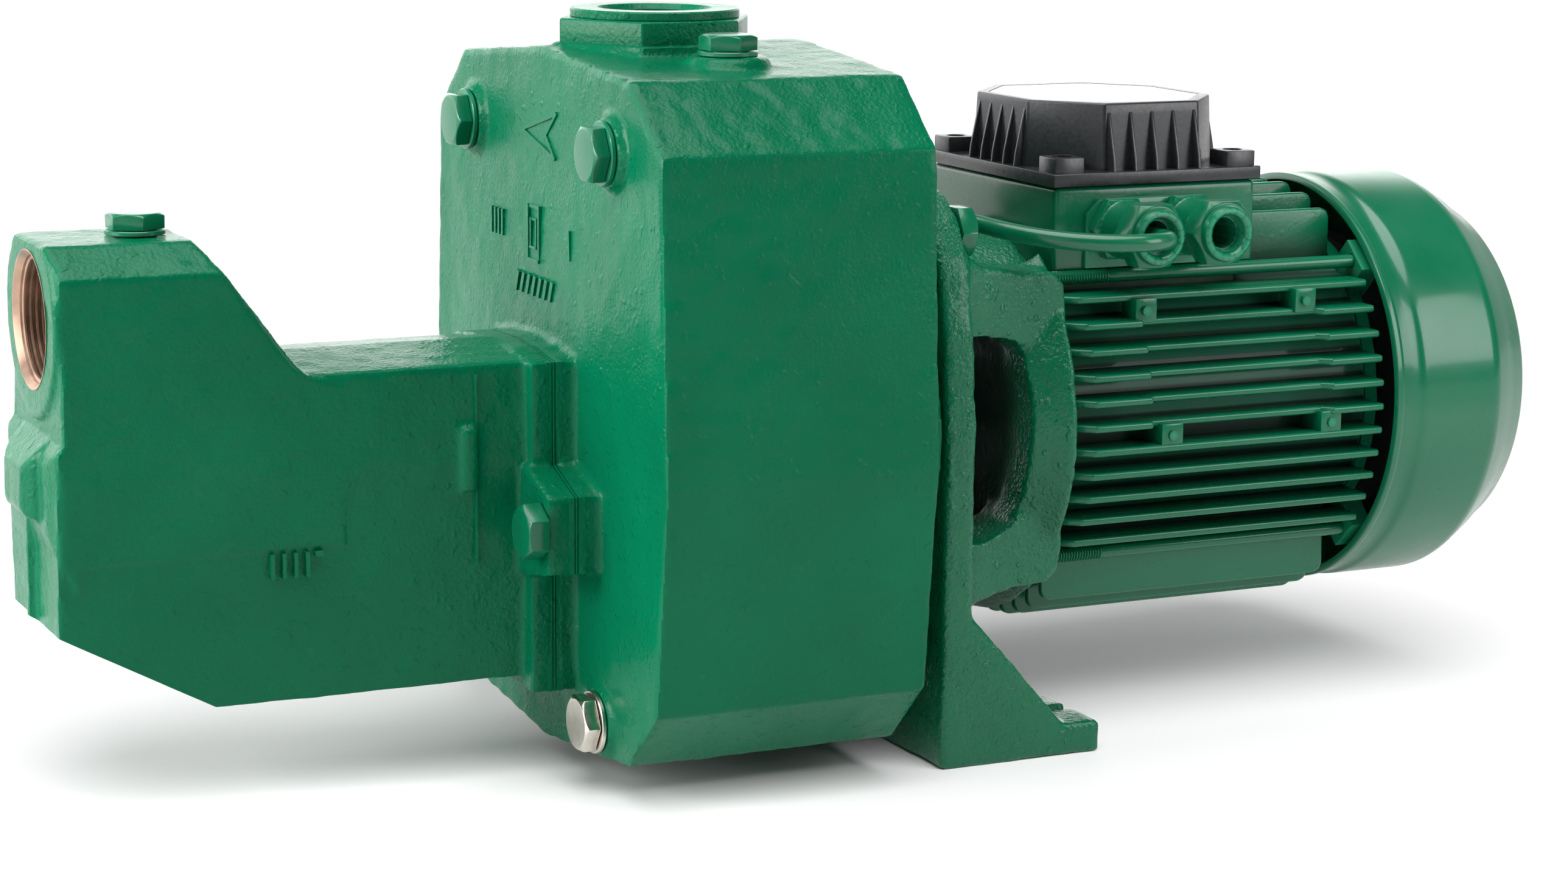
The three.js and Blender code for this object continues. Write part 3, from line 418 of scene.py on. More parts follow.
# PANEL is a panel on the lid's top whose pale grey partly stands for the reflection of the white backdrop on
# it, a painted reflection.
PANEL = plain_material("satin_panel", (0.56, 0.57, 0.58), 0.22, 0.3, grain_mm=0.8, depth_mm=0.004,
                       contrast=0.04)
NICKEL = plain_material("dull_nickel", (0.66, 0.61, 0.54), 0.24, 1.0, grain_mm=1.6, depth_mm=0.008)
STEEL = plain_material("ground_steel", (0.56, 0.57, 0.58), 0.30, 1.0, grain_mm=2.0, stretch=(0.1, 1, 1))
BARE_THREAD = plain_material("bare_thread", (0.34, 0.22, 0.155), 0.42, 0.6, grain_mm=3.5, depth_mm=0.04,
                             contrast=0.45)
BRASS = plain_material("cast_brass", (0.56, 0.42, 0.17), 0.35, 1.0, grain_mm=3.0, depth_mm=0.05)
COPPER = plain_material("varnished_wire", (0.50, 0.22, 0.11), 0.35, 0.9, grain_mm=1.4, depth_mm=0.25,
                        stretch=(2, 1, 1))
LAMINATION = plain_material("stacked_sheet", (0.22, 0.23, 0.24), 0.5, 0.9, grain_mm=1.0,
                            stretch=(8, 0.2, 0.2))
ALUMINIUM = plain_material("die_cast", (0.60, 0.61, 0.62), 0.45, 1.0, grain_mm=3.0, depth_mm=0.04)
BLACK_PLASTIC = plain_material("black_plastic", (0.020, 0.021, 0.023), 0.5, grain_mm=2.0)
MOULDING = plain_material("pale_moulding", (0.62, 0.56, 0.44), 0.45, grain_mm=4.0)
GRAPHITE = plain_material("lapped_graphite", (0.05, 0.052, 0.055), 0.4, 0.1, grain_mm=1.0)

SLOT_LOOKS = {
    "cast_paint": CAST_GREEN,
    "paint": SMOOTH_GREEN,
    "lid_black": LID_BLACK,
    "nickel": NICKEL,
    "steel": STEEL,
    "stainless": STEEL,
    "moulding": MOULDING,
    "graphite": GRAPHITE,
    "fibre": CAST_GREEN,
    "lamination": LAMINATION,
    "copper": COPPER,
    "black_plastic": BLACK_PLASTIC,
    "aluminium": ALUMINIUM,
    "brass": BRASS,
}

for subpart in frame["record"]["subparts"]:
    node = frame["nodes"][subpart["node"]]
    look = SLOT_LOOKS[subpart["material_slot"]]
    for place in node.material_slots:
        place.material = look

# ---------------------------------------------------------------- camera


CAMERA_PLACE = (-0.59789, -1.25496, 0.38177)
CAMERA_TURN = (25.46, 10.71, -0.53)
SENSOR_WIDTH, FOCAL_LENGTH, FAR_CLIP = 36.0, 79.86, 60.0


def place_camera():
    """Turned from looking along +Y: to the right by the yaw, down by the pitch, then rolled."""
    yaw, pitch, roll = (math.radians(v) for v in CAMERA_TURN)
    ahead = Vector((math.sin(yaw) * math.cos(pitch), math.cos(yaw) * math.cos(pitch), -math.sin(pitch)))
    right = Vector((math.cos(yaw), -math.sin(yaw), 0.0))
    down = ahead.cross(right)
    across = math.cos(roll) * right + math.sin(roll) * down
    up = math.sin(roll) * right - math.cos(roll) * down
    camera = bpy.data.objects.new("camera", bpy.data.cameras.new("camera"))
    bpy.context.scene.collection.objects.link(camera)
    camera.data.sensor_width = SENSOR_WIDTH
    camera.data.lens = FOCAL_LENGTH
    camera.data.clip_end = FAR_CLIP
    turn = Matrix((across, up, -ahead)).transposed().to_4x4()
    camera.matrix_world = Matrix.Translation(CAMERA_PLACE) @ turn
    bpy.context.scene.camera = camera


place_camera()

# ---------------------------------------------------------------- pump body

BODY_HALF = [(0, 6.5), (86, 15), (113.5, 41), (122.5, 128), (116, 248.5), (87, 273.5), (0, 281)]
BODY_FRONT, BODY_REAR = -105.5, 6.5
FLANGE_HALF = [(0, 36), (43, 36), (43, 83), (66, 87), (66, 116.5), (43, 125), (43, 164.5), (22, 167.5),
               (0, 168.5)]
PAD_FACE = -117.2
NOSE_BOLT_Y, NOSE_BOLT_Z = 59.5, 103.5
ADAPTER_BOLT_Y, ADAPTER_BOLT_RISE = 66, 80
FRONT_SEAT = -109.0
SWELL_FRONT, SWELL_FULL_Z, SWELL_TOP_Z = -108.4, 165, 233
FRONT_PLUGS = {"near": (-72.2, 246.3), "far": (72.2, 246.3)}
DRAIN = (-63.0, 28.0)
DELIVERY_X, DELIVERY_TOP = -58.0, 294.7
DELIVERY_FOOT = (DELIVERY_X, 0, 0)
PRIMING = (-52.0, -56.0, 279.5)
PRIMING_FOOT = (PRIMING[0], PRIMING[1], 0)
PLUG_HOLE, PRIMING_HOLE = 8.7, 8.5
PIPE_PITCH = 2.309


def pipe_thread(crest, root, lo, hi, axis, at):
    """The cut thread inside a port, as fine rings of ridges."""
    profile = []
    along = lo
    while along + PIPE_PITCH <= hi:
        for share, radius in ((0.1, root), (0.3, crest), (0.6, crest), (0.85, root)):
            profile.append((along + share * PIPE_PITCH, radius))
        along += PIPE_PITCH
    outer = root + 0.6
    profile = [(lo, root)] + profile + [(hi, root), (hi, outer), (lo, outer)]
    return lathe(profile, 96, axis, at)


def face_at(z):
    """X of the body's front, in the middle, at a height: it swells forward round the nose's seat."""
    share = (SWELL_TOP_Z - z) / (SWELL_TOP_Z - SWELL_FULL_Z)
    return BODY_FRONT + (SWELL_FRONT - BODY_FRONT) * min(1.0, max(0.0, share)) - 0.1


def bar(points, width, height):
    """A thin raised line on the body's front, along (y, z) points."""
    made = []
    for (y0, z0), (y1, z1) in zip(points, points[1:]):
        length = math.hypot(y1 - y0, z1 - z0)
        ey, ez = (y1 - y0) / length * width / 2, (z1 - z0) / length * width / 2
        outline = [(y0 - ey - ez, z0 - ez + ey), (y0 - ey + ez, z0 - ez - ey),
                   (y1 + ey + ez, z1 + ez - ey), (y1 + ey - ez, z1 + ez + ey)]
        face = face_at((z0 + z1) / 2)
        made.append(prism(outline, "x", face - height, face + 3))
    return made


def body_marks():
    """An outline flow arrow, a plain plaque outline, a bar and rows of studs."""
    marks = bar([(18.9, 247.0), (-16.3, 255.7), (-5.8, 246.8), (-14.4, 238.6), (18.9, 247.0)], 1.3, 0.75)
    marks += bar([(10.5, 218), (-1.0, 218), (-1.0, 197), (10.5, 197), (10.5, 218)], 1.4, 0.9)
    marks += bar([(7.6, 213.0), (1.9, 213.0), (1.9, 202), (7.6, 202), (7.6, 213.0)], 1.0, 0.8)
    marks += bar([(-32.0, 212), (-32.6, 202)], 1.5, 0.8)
    for y in (38.5, 42.5, 46.5, 50.5):
        marks += bar([(y, 212.5), (y, 203.5)], 1.5, 0.9)
    for i in range(7):
        y = 20.5 - 6.0 * i
        marks += bar([(y - 1.1, 190.0), (y + 1.1, 184.6)], 2.4, 0.8)
    return marks


def front_swell():
    """The body's front stands forward a little round the nose's seat."""
    back = BODY_FRONT + 3
    level = [(back, -104), (BODY_FRONT, -104), (SWELL_FRONT, -47), (SWELL_FRONT, 47), (BODY_FRONT, 104),
             (back, 104)]
    upright = [(back, 15), (BODY_FRONT, 15), (SWELL_FRONT, 50), (SWELL_FRONT, SWELL_FULL_Z),
               (BODY_FRONT, SWELL_TOP_Z), (back, SWELL_TOP_Z)]
    bulge = common(prism(level, "z", 0, 250), prism(upright, "y", -120, 120))
    return common(bulge, prism(mirrored(BODY_HALF), "x", SWELL_FRONT - 1, BODY_FRONT + 4))


def adapter_bolt_place(side, up, x=0):
    return (x, side * ADAPTER_BOLT_Y, SHAFT_Z + up * ADAPTER_BOLT_RISE)


def make_pump_body():
    parts = [
        prism(mirrored(BODY_HALF), "x", BODY_FRONT, BODY_REAR),
        prism(mirrored(FLANGE_HALF), "x", PAD_FACE + 0.1, BODY_FRONT + 4),
        lathe([(264, 0), (264, 18), (275, 17), (279.6, 15), (279.6, 0)], 64, "z", PRIMING_FOOT),
        front_swell(),
        prism(hexagon(42, middle=DELIVERY_X), "z", 265, 282.5),
        lathe([(0, 0), (0, 89), (25.2, 89), (25.2, 0)], 128),
    ]
    plug_boss = [(FRONT_SEAT, 0), (FRONT_SEAT, 13.2), (BODY_FRONT - 0.4, 14.6), (-100, 15), (-100, 0)]
    for y, z in (*FRONT_PLUGS.values(), DRAIN):
        parts.append(lathe(plug_boss, 64, "x", (0, y, z)))
    for side in (-1, 1):
        for up in (-1, 1):
            parts.append(rod(2, 25.2, 15.2, at=adapter_bolt_place(side, up)))
    body = cast(merged(parts), 1.45, 2, [(0.7, 0.009), (0.7, 0.04)], 0.42)
    delivery_nut = bevelled(prism(hexagon(40, middle=DELIVERY_X), "z", 270, 291.2), 0.9, 3)
    delivery_rim = lathe([(286, 0), (286, 32.4), (290.6, 32.4), (291.6, 33.1), (294.1, 33.1),
                          (DELIVERY_TOP, 32.5), (DELIVERY_TOP, 0)], 96, "z", DELIVERY_FOOT)
    pad_edge = prism(mirrored(FLANGE_HALF), "x", PAD_FACE + 0.1, PAD_FACE + 3.0)
    join(body, delivery_nut, delivery_rim, pad_edge, *body_marks())
    holes = [
        rod(-118, -80, 25.0),
        rod(-30, 30, 80.3, sides=128),
        rod(245, 300, 20.9, "z", DELIVERY_FOOT, 96),
        lathe([(292.2, 0), (292.2, 20.6), (296, 23.6), (296, 0)], 96, "z", DELIVERY_FOOT),
        rod(250, 290, PRIMING_HOLE, "z", PRIMING_FOOT),
        block(-125, PAD_FACE + 0.06, -70, 70, 30, 175),
    ]
    for y, z in (*FRONT_PLUGS.values(), DRAIN):
        holes.append(rod(-112, -90, PLUG_HOLE, at=(0, y, z)))
        holes.append(rod(-112, FRONT_SEAT, 14, at=(0, y, z)))
    for side in (-1, 1):
        holes.append(rod(-120, -100, 6.3, at=(0, side * NOSE_BOLT_Y, NOSE_BOLT_Z)))
        for up in (-1, 1):
            holes.append(rod(4, 30, 5.3, at=adapter_bolt_place(side, up)))
    cut(body, *holes)
    finish_piece(body, "cast_body", "casing", CAST_GREEN, ["pump_body"])
    thread = pipe_thread(19.5, 20.95, 256, 292.2, "z", DELIVERY_FOOT)
    finish_piece(thread, "delivery_thread", "casing", BARE_THREAD, angle=20)


make_pump_body()

# ---------------------------------------------------------------- nose

NOSE_FRONT, NOSE_FLANGE, NOSE_JOINT, NOSE_FLOOR, NOSE_SIDE = -304.8, -127.0, -118.6, 41.0, 38.5
NOSE_TOP, NOSE_PLUG_X = 215.2, -266.5
SUCTION_Z, SUCTION_FACE = 185.7, -306.8
SUCTION_LINE = (0, 0, SUCTION_Z)
NOSE_PLUG_FOOT = (NOSE_PLUG_X, 0, 0)


def nose_swell(from_side, from_above, lowest):
    """A swelling of the nose's front below the port, by its outlines from the side and from above."""
    return common(prism(from_side, "y", -40, 40), prism(from_above, "z", lowest, 160))


def make_nose():
    hump_side = [(NOSE_FRONT, 100), (NOSE_FRONT, 215), (-251, 215), (-217.5, 168.8), (-211, 163), (-200, 160),
                 (-200, 100)]
    hump_section = mirrored([(0, 90), (38, 90), (NOSE_SIDE, 128), (36.5, 204.5), (22, 215.1), (0, NOSE_TOP)])
    hump = common(prism(hump_side, "y", -50, 50), prism(hump_section, "x", NOSE_FRONT, -200))
    rear_section = mirrored([(0, NOSE_FLOOR), (34, NOSE_FLOOR), (NOSE_SIDE, 128), (37, 164.5), (0, 169)])
    lower_face = mirrored([(0, NOSE_FLOOR), (34, NOSE_FLOOR), (38, 126), (0, 126)])
    flange = [(u, v) for u, v in FLANGE_HALF if u < 60]
    boss = mirrored([(0, 84), (43, 83), (66, 87), (66, 116.5), (43, 125), (0, 125)])
    parts = [
        hump,
        prism(rear_section, "x", NOSE_FRONT + 2, NOSE_FLANGE + 1),
        prism(lower_face, "x", -307.6, NOSE_FRONT + 4),
        common(rod(SUCTION_FACE + 0.2, NOSE_FRONT + 6, 36.0, at=SUCTION_LINE, sides=96),
               block(-310, -290, -50, 50, 0, 214.8)),
        nose_swell([(-300, 112), (-313.6, 115), (-315.2, 118), (-315.2, 133), (-312, 138), (-300, 149)],
                   [(-300, -20), (-311.5, -19), (-315.2, -13), (-315.2, 13), (-311.5, 19), (-300, 20)], 100),
        nose_swell([(-300, 90), (-308, 104), (-309.6, 112), (-309.8, 136), (-307.5, 141), (-300, 149)],
                   [(-300, -38.2), (-307, -38), (-309.8, -27), (-309.8, 27), (-307, 38), (-300, 38.2)], 80),
        block(-310.4, -300, -1.8, 1.8, 66, 112),
        block(-153.6, -147.4, -41, 41, 116.5, 141),
        prism(mirrored(flange), "x", NOSE_FLANGE, NOSE_JOINT - 0.1),
        prism(boss, "x", -129.4, NOSE_JOINT - 0.1),
    ]
    nose = cast(merged(parts), 1.25, 2, [(0.6, 0.008), (0.6, 0.035)], 0.5)
    seam = block(-147.9, -147.2, -NOSE_SIDE - 0.45, NOSE_SIDE + 0.45, 87, 161)
    joint_edge = prism(mirrored(FLANGE_HALF), "x", NOSE_JOINT - 2.4, NOSE_JOINT - 0.1)
    stamps = []
    for x in (-228.0, -223.5, -219.0, -214.5):
        stamps.append(block(x - 0.7, x + 0.7, -39.1, -30, 89, 98.5))
    stamps.append(block(-211.5, -208.5, -39.1, -30, 96.5, 98.5))
    join(nose, seam, joint_edge, *stamps)
    holes = [
        prism([(-330, 85.7), (-249, 41.2), (-249, 20), (-330, 20)], "y", -60, 60),
        rod(SUCTION_FACE - 6, -262, 24.05, at=SUCTION_LINE, sides=96),
        lathe([(-309.8, 0), (-309.8, 28.5), (-304.9, 24.6), (-304.4, 24.05), (-304.4, 0)],
              96, "x", SUCTION_LINE),
        prism([(-273, 164), (-273, 206), (-256, 206), (-222, 158), (-131, 158), (-131, 104), (-241, 104),
               (-241, 164)], "y", -27, 27),
        rod(-133, -110, 20.2),
        rod(200, 222, PRIMING_HOLE, "z", NOSE_PLUG_FOOT),
        block(-330, SUCTION_FACE - 0.02, -36.3, 36.3, 160, 240),
        block(NOSE_JOINT - 0.06, -110, -80, 80, 20, 180),
        rod(NOSE_TOP, 225, 13.5, "z", NOSE_PLUG_FOOT),
    ]
    for side in (-1, 1):
        bolt_line = (0, side * NOSE_BOLT_Y, NOSE_BOLT_Z)
        holes += [rod(-131, -110, 6.3, at=bolt_line), rod(-140, -129.5, 12.5, at=bolt_line)]
    cut(nose, *holes)
    finish_piece(nose, "cast_nose", "casing", CAST_GREEN, ["nose_casting"])
    thread = pipe_thread(22.4, 24.0, -304.2, -272, "x", SUCTION_LINE)
    mouth = lathe([(-306.9, 25.5), (-306.9, 26.0), (-303.9, 24.6), (-303.9, 23.6), (-304.6, 23.7),
                   (-306.7, 25.3)], 96, "x", SUCTION_LINE)
    finish_piece(merged([thread, mouth]), "suction_thread", "casing", BARE_THREAD, angle=20)


make_nose()

# ---------------------------------------------------------------- adapter

PLATE_FRONT, PLATE_REAR = 26.0, 39.0
PLATE_HALF = [(0, 0), (90.7, 0), (91.5, 130), (88, 172), (82, 200), (74, 215), (62, 224), (46, 229), (0, 231)]
CORNERS = [(-1, 1), (1, 1), (1, -1), (-1, -1)]
TIE_Y, TIE_RISE, TIE_R = 54.2, 57.0, 2.9
FOOT_REAR, FOOT_TOP, FOOT_SLOT_X, FOOT_SLOT_Y = 98, 12.8, 77, 66.5


def lug(side, up):
    """The heavy lump that carries a tie bolt from the plate to the ring."""
    profile = [(38, 33), (38, 74), (47, 67.5), (66, 63.5), (82, 63), (86.9, 58), (88.6, 49), (86.7, 34),
               (75, 35)]
    block_outline = [(38, 40), (38, 80), (52, 77), (70, 74.5), (88.6, 73.5), (88.6, 50), (60, 46)]
    shape = prism([(x, SHAFT_Z + up * z) for x, z in profile], "y", -90, 90)
    return common(shape, prism([(x, side * y) for x, y in block_outline], "z", 40, 220))


def make_adapter():
    parts = [
        prism(mirrored(PLATE_HALF), "x", PLATE_FRONT, PLATE_REAR),
        lathe([(37, 66), (37, 82), (43, 77.5), (60, 77), (70, 79.5), (80, 85), (84.5, 87.6), (86.7, 88),
               (86.7, 59), (84.5, 59), (84.5, 27), (64, 27), (62, 35), (69, 42), (70, 66)], 128),
    ]
    crown = block(42, 95, -54, 54, SHAFT_Z + 50, SHAFT_Z + 95)
    cut(parts[1], cut(crown, rod(30, 100, 76.6, sides=128)))
    parts += [lug(side, up) for side, up in CORNERS]
    web = [(PLATE_FRONT, 0), (FOOT_REAR, 0), (FOOT_REAR, FOOT_TOP), (82, FOOT_TOP), (PLATE_REAR, 61),
           (PLATE_FRONT, 61)]
    for side in (-1, 1):
        parts.append(block(PLATE_FRONT, FOOT_REAR, *span(side, 46, 90.7), 0, FOOT_TOP))
        parts.append(prism(web, "y", *span(side, 78.7, 90.7)))
    adapter = cast(merged(parts), 1.5, 1)
    opening = [(PLATE_REAR + 0.3, 87), (52, 87), (66, 93), (69, 102), (70.2, 120), (70.5, 145), (69, 162),
               (64, 167), (PLATE_REAR + 0.3, 170.5)]
    cut(adapter, bevelled(prism(opening, "y", -100, 100), 2, 3), rod(20, 45, 32))
    adapter = cast(adapter, 1.25, 2, [(0.9, 0.010), (0.7, 0.03)], 0.5)
    holes = [rod(60, 90, 26.3), rod(84.6, 90, 59.7, sides=128), block(86.68, 110, -60, 60, 40, 225),
             block(20, PLATE_FRONT + 0.02, -95, 95, -5, 235)]
    for side, up in CORNERS:
        place = adapter_bolt_place(side, up)
        holes.append(rod(20, 45, 5.4, at=place))
        holes.append(rod(PLATE_REAR - 0.6, 60, 13.0, at=place))
        holes.append(rod(69, 90, 3.2, at=(0, side * TIE_Y, SHAFT_Z + up * TIE_RISE)))
    for side in (-1, 1):
        mid = side * FOOT_SLOT_Y
        holes += [block(FOOT_SLOT_X, 100, mid - 5, mid + 5, -2, 20),
                  rod(-2, 20, 5, "z", (FOOT_SLOT_X, mid, 0))]
    holes.append(block(20, 110, -100, 100, -10, 0.02))
    cut(adapter, *holes)
    finish_piece(adapter, "cast_adapter", "casing", ROUGH_GREEN, ["adapter"])


make_adapter()

# ---------------------------------------------------------------- plugs and bolts


def hex_head(flats, height, lo, chamfer=1.3, start=0):
    """A hexagon head round the X axis, from lo towards -X."""
    corner = flats / math.sqrt(3)
    head = prism(hexagon(corner, start), "x", lo - height, lo)
    shape = [(lo - height, 0), (lo - height, flats / 2 - 0.5), (lo - height + chamfer, corner + 0.15),
             (lo, corner + 0.15), (lo, 0)]
    common(head, lathe(shape, 96, "x", ORIGIN))
    bevelled(head, 0.3, 2, 25)
    return head


def put(obj, at, turn=None):
    """Moves a piece drawn at the origin to its place, turned first."""
    obj.data.transform(Matrix.Translation(Vector(at) * MM) @ (turn or Matrix()))
    return obj


FACE_UP = Matrix.Rotation(math.radians(90), 4, "Y")
FACE_BACK = Matrix.Rotation(math.radians(180), 4, "Z")
GAP, WASHER = 0.3, 1.8
LIFT = 2 * GAP + WASHER
PLUG_HEAD = 6


def painted(obj, name, node):
    return finish_piece(obj, name, "casing", SMOOTH_GREEN, [node], angle=28)


def make_plug(name, flats, thread, washer_r, at, turn=None, material=SMOOTH_GREEN):
    """A hexagon plug and its washer; `at` is the underside of the head."""
    head = hex_head(flats, PLUG_HEAD, 0.0)
    stem = rod(-0.5, 12, thread - 0.2, at=ORIGIN, sides=48)
    join(head, stem)
    put(head, at, turn)
    finish_piece(head, f"{name}_hex", "casing", material, [name], angle=28)
    ring = lathe([(0, thread + GAP), (WASHER, thread + GAP), (WASHER, washer_r - 0.3),
                  (WASHER - 0.3, washer_r), (0.3, washer_r), (0, washer_r - 0.3)], 64, "x", ORIGIN)
    shift = Matrix.Translation((GAP * MM, 0, 0))
    put(ring, at, (turn or Matrix()) @ shift)
    finish_piece(ring, f"{name}_ring", "casing", material, [f"{name}_washer"], angle=28)


for side_name, (plug_y, plug_z) in FRONT_PLUGS.items():
    make_plug(f"front_plug_{side_name}", 20, 8.4, 12.2, (FRONT_SEAT - LIFT, plug_y, plug_z))
make_plug("drain_plug", 20, 8.4, 12.2, (FRONT_SEAT - LIFT, *DRAIN), material=NICKEL)
make_plug("nose_plug", 19.5, 8.2, 11.4, (NOSE_PLUG_X, 0, NOSE_TOP + LIFT), FACE_UP)
make_plug("priming_plug", 19.5, 8.2, 11.4, (PRIMING[0], PRIMING[1], PRIMING[2] + LIFT), FACE_UP)

for side_name, bolt_y in (("near", -NOSE_BOLT_Y), ("far", NOSE_BOLT_Y)):
    bolt = join(hex_head(19, 8.3, 0.0, start=30), rod(-0.5, 27, 5.9, at=ORIGIN, sides=40))
    put(bolt, (-129.8, bolt_y, NOSE_BOLT_Z))
    painted(bolt, f"nose_bolt_{side_name}_hex", f"nose_bolt_{side_name}")

for side, up in CORNERS:
    corner_name = f"{'upper' if up > 0 else 'lower'}_{'near' if side < 0 else 'far'}"
    bolt = join(hex_head(19, 7.5, 0.0), rod(-0.5, 32, 4.9, at=ORIGIN, sides=40))
    put(bolt, adapter_bolt_place(side, up, PLATE_REAR + GAP), FACE_BACK)
    painted(bolt, f"adapter_bolt_{corner_name}_hex", f"adapter_bolt_{corner_name}")
    profile = [(70, 0), (70, 2.4)]
    along = 71.0
    while along < 117:
        profile += [(along, 2.25), (along + 0.5, TIE_R), (along + 0.75, TIE_R), (along + 1.24, 2.25)]
        along += 1.25
    profile += [(119, 2.75), (245.3, 2.75), (245.3, 4.7), (245.6, 5), (250, 5), (250.3, 4.7), (250.3, 0)]
    tie = lathe(profile, 32, "x", (0, side * TIE_Y, SHAFT_Z + up * TIE_RISE))
    painted(tie, f"tie_bolt_{corner_name}_rod", f"tie_bolt_{corner_name}")

# ---------------------------------------------------------------- motor frame

FIN_PITCH, FIN_ROWS, FIN_TIP, FIN_THICK = 9.9, 5, 84.0, 3.0
CORE, BORE, FRAME_FRONT, FRAME_REAR = 68.0, 60.3, 87.0, 235.0
WIRE_HOLE_R, WIRE_HOLE_FOOT = 8, (141, 0, 0)


def fin(outline, axis, middle):
    made = prism(outline, axis, middle - FIN_THICK / 2, middle + FIN_THICK / 2)
    return bevelled(made, 1.1, 4, 20)


def level_fin(side, z):
    root = math.sqrt(CORE ** 2 - z ** 2) - 3
    tip = math.sqrt(FIN_TIP ** 2 - z ** 2)
    outline = [(88, root), (88, tip - 8), (97, tip)]
    if 0 <= z < FIN_PITCH * (FIN_ROWS - 0.5):
        outline += [(123.5, tip), (124.5, tip - 4), (206, tip - 4), (209, tip)]
    outline += [(FRAME_REAR - 0.5, tip), (FRAME_REAR - 0.5, root)]
    return fin([(x, side * y) for x, y in outline], "z", SHAFT_Z + z)


def upright_fin(y, x0, x1, tip_radius, up):
    root = math.sqrt(CORE ** 2 - y ** 2) - 3
    tip = math.sqrt(tip_radius ** 2 - y ** 2)
    corner = [(x0, tip - 4), (x0 + 1.2, tip - 1.2), (x0 + 4, tip)]
    corner += [(x1 - 4, tip), (x1 - 1.2, tip - 1.2), (x1, tip - 4)]
    outline = [(x0, root)] + corner + [(x1, root)]
    return fin([(x, SHAFT_Z + up * z) for x, z in outline], "y", y)


def make_motor_frame():
    shell = lathe([(FRAME_FRONT, BORE), (FRAME_FRONT, CORE), (FRAME_REAR, CORE), (FRAME_REAR, BORE)], 160)
    parts = []
    for side in (-1, 1):
        for row in range(-FIN_ROWS, FIN_ROWS + 1):
            parts.append(level_fin(side, row * FIN_PITCH))
        for x in (121, 197):
            upper = block(x, x + 10, *span(side, 60, 71.5), SHAFT_Z + 39.6, SHAFT_Z + 49.5)
            parts.append(bevelled(upper, 0.7))
            parts.append(rod(*span(side, 66, 73.2), 2.0, "y", (x + 4.5, 0, SHAFT_Z + 44.6), 24))
            middle = block(x + 7, x + 17, *span(side, 60, 83), SHAFT_Z - 9, SHAFT_Z)
            parts.append(bevelled(middle, 0.7))
            parts.append(rod(*span(side, 80, 83.9), 2.0, "y", (x + 12, 0, SHAFT_Z - 4.8), 24))
        for y in (8, 23.5, 37):
            parts.append(upright_fin(side * y, 190, FRAME_REAR - 0.5, FIN_TIP + 2, 1))
        for y in (5.5, 16.5, 27.5, 38.5, 49.5):
            parts.append(upright_fin(side * y, 92, 229, 91, -1))
        parts.append(bevelled(block(100, 182, *span(side, 30, 48), SHAFT_Z + 40, SHAFT_Z + 57.7), 0.8))
    join(shell, *parts)
    cut(shell, rod(FRAME_FRONT - 1, FRAME_REAR + 1, BORE, sides=160),
        rod(SHAFT_Z + 50, SHAFT_Z + 75, WIRE_HOLE_R, "z", WIRE_HOLE_FOOT))
    finish_piece(shell, "finned_frame", "casing", FRAME_GREEN, ["motor_frame"], angle=28)


make_motor_frame()

# ---------------------------------------------------------------- fan cover


def arc_points(cx, cr, radius, start, end, steps):
    """Points of a profile's round corner about (cx, cr); degrees from straight outwards."""
    angles = [math.radians(start + (end - start) * i / steps) for i in range(steps + 1)]
    return [(cx + radius * math.sin(a), cr + radius * math.cos(a)) for a in angles]


def make_fan_cover():
    outer = [(238.4, 85.0), (238.4, 87.2), (238.9, 87.8), (240.2, 88.0), (241.6, 87.8), (242.2, 87.2),
             (246.0, 86.9), (250.0, 86.9), (251.0, 87.4), (252.4, 87.9), (254.4, 88.0), (286.0, 88.0)]
    outer += arc_points(286.0, 78.0, 10.0, 4, 34, 8)
    outer += [(300.0, 81.3), (306.0, 76.6)] + arc_points(305.4, 66.2, 9.8, 38, 90, 10)
    rear = [(315.2, 65.0), (315.2, 0)]
    inner = [(313.4, 0), (313.4, 66.0), (311.6, 71.4), (307.0, 74.0), (300.0, 79.4), (291.6, 84.6),
             (286.0, 86.2), (254.0, 86.2), (250.6, 85.2), (240.0, 84.9)]
    cover = lathe(outer + rear + inner, 192)
    slots = []
    for count, low, high in ((8, 18, 38), (12, 43, 60)):
        for i in range(count):
            slot = bevelled(block(308, 320, -3, 3, SHAFT_Z + low, SHAFT_Z + high), 2.6, 4)
            slots.append(turned_about_shaft(slot, 360 * i / count))
    cut(cover, *slots)
    finish_piece(cover, "fan_cowl", "casing", SHEET_GREEN, ["fan_cover"], angle=40)


make_fan_cover()

# ---------------------------------------------------------------- terminal box and lid

BOX_X0, BOX_X1, BOX_Y, BOX_FLOOR, BOX_TOP = 93.5, 188.0, 52.5, 188.0, 222.9
GLAND_XS, GLAND_Z, GLAND_WALL = (121.4, 153.0), 206.2, -54.5
LID_X0, LID_X1, LID_Y, LID_BOTTOM, LID_FLANGE, LID_TOP = 92.0, 189.5, 54.0, 223.2, 228.6, 255.5
PILLARS = [(LID_X1 - 8.5 if end > 0 else LID_X0 + 8.5, side * (LID_Y - 9)) for side, end in CORNERS]


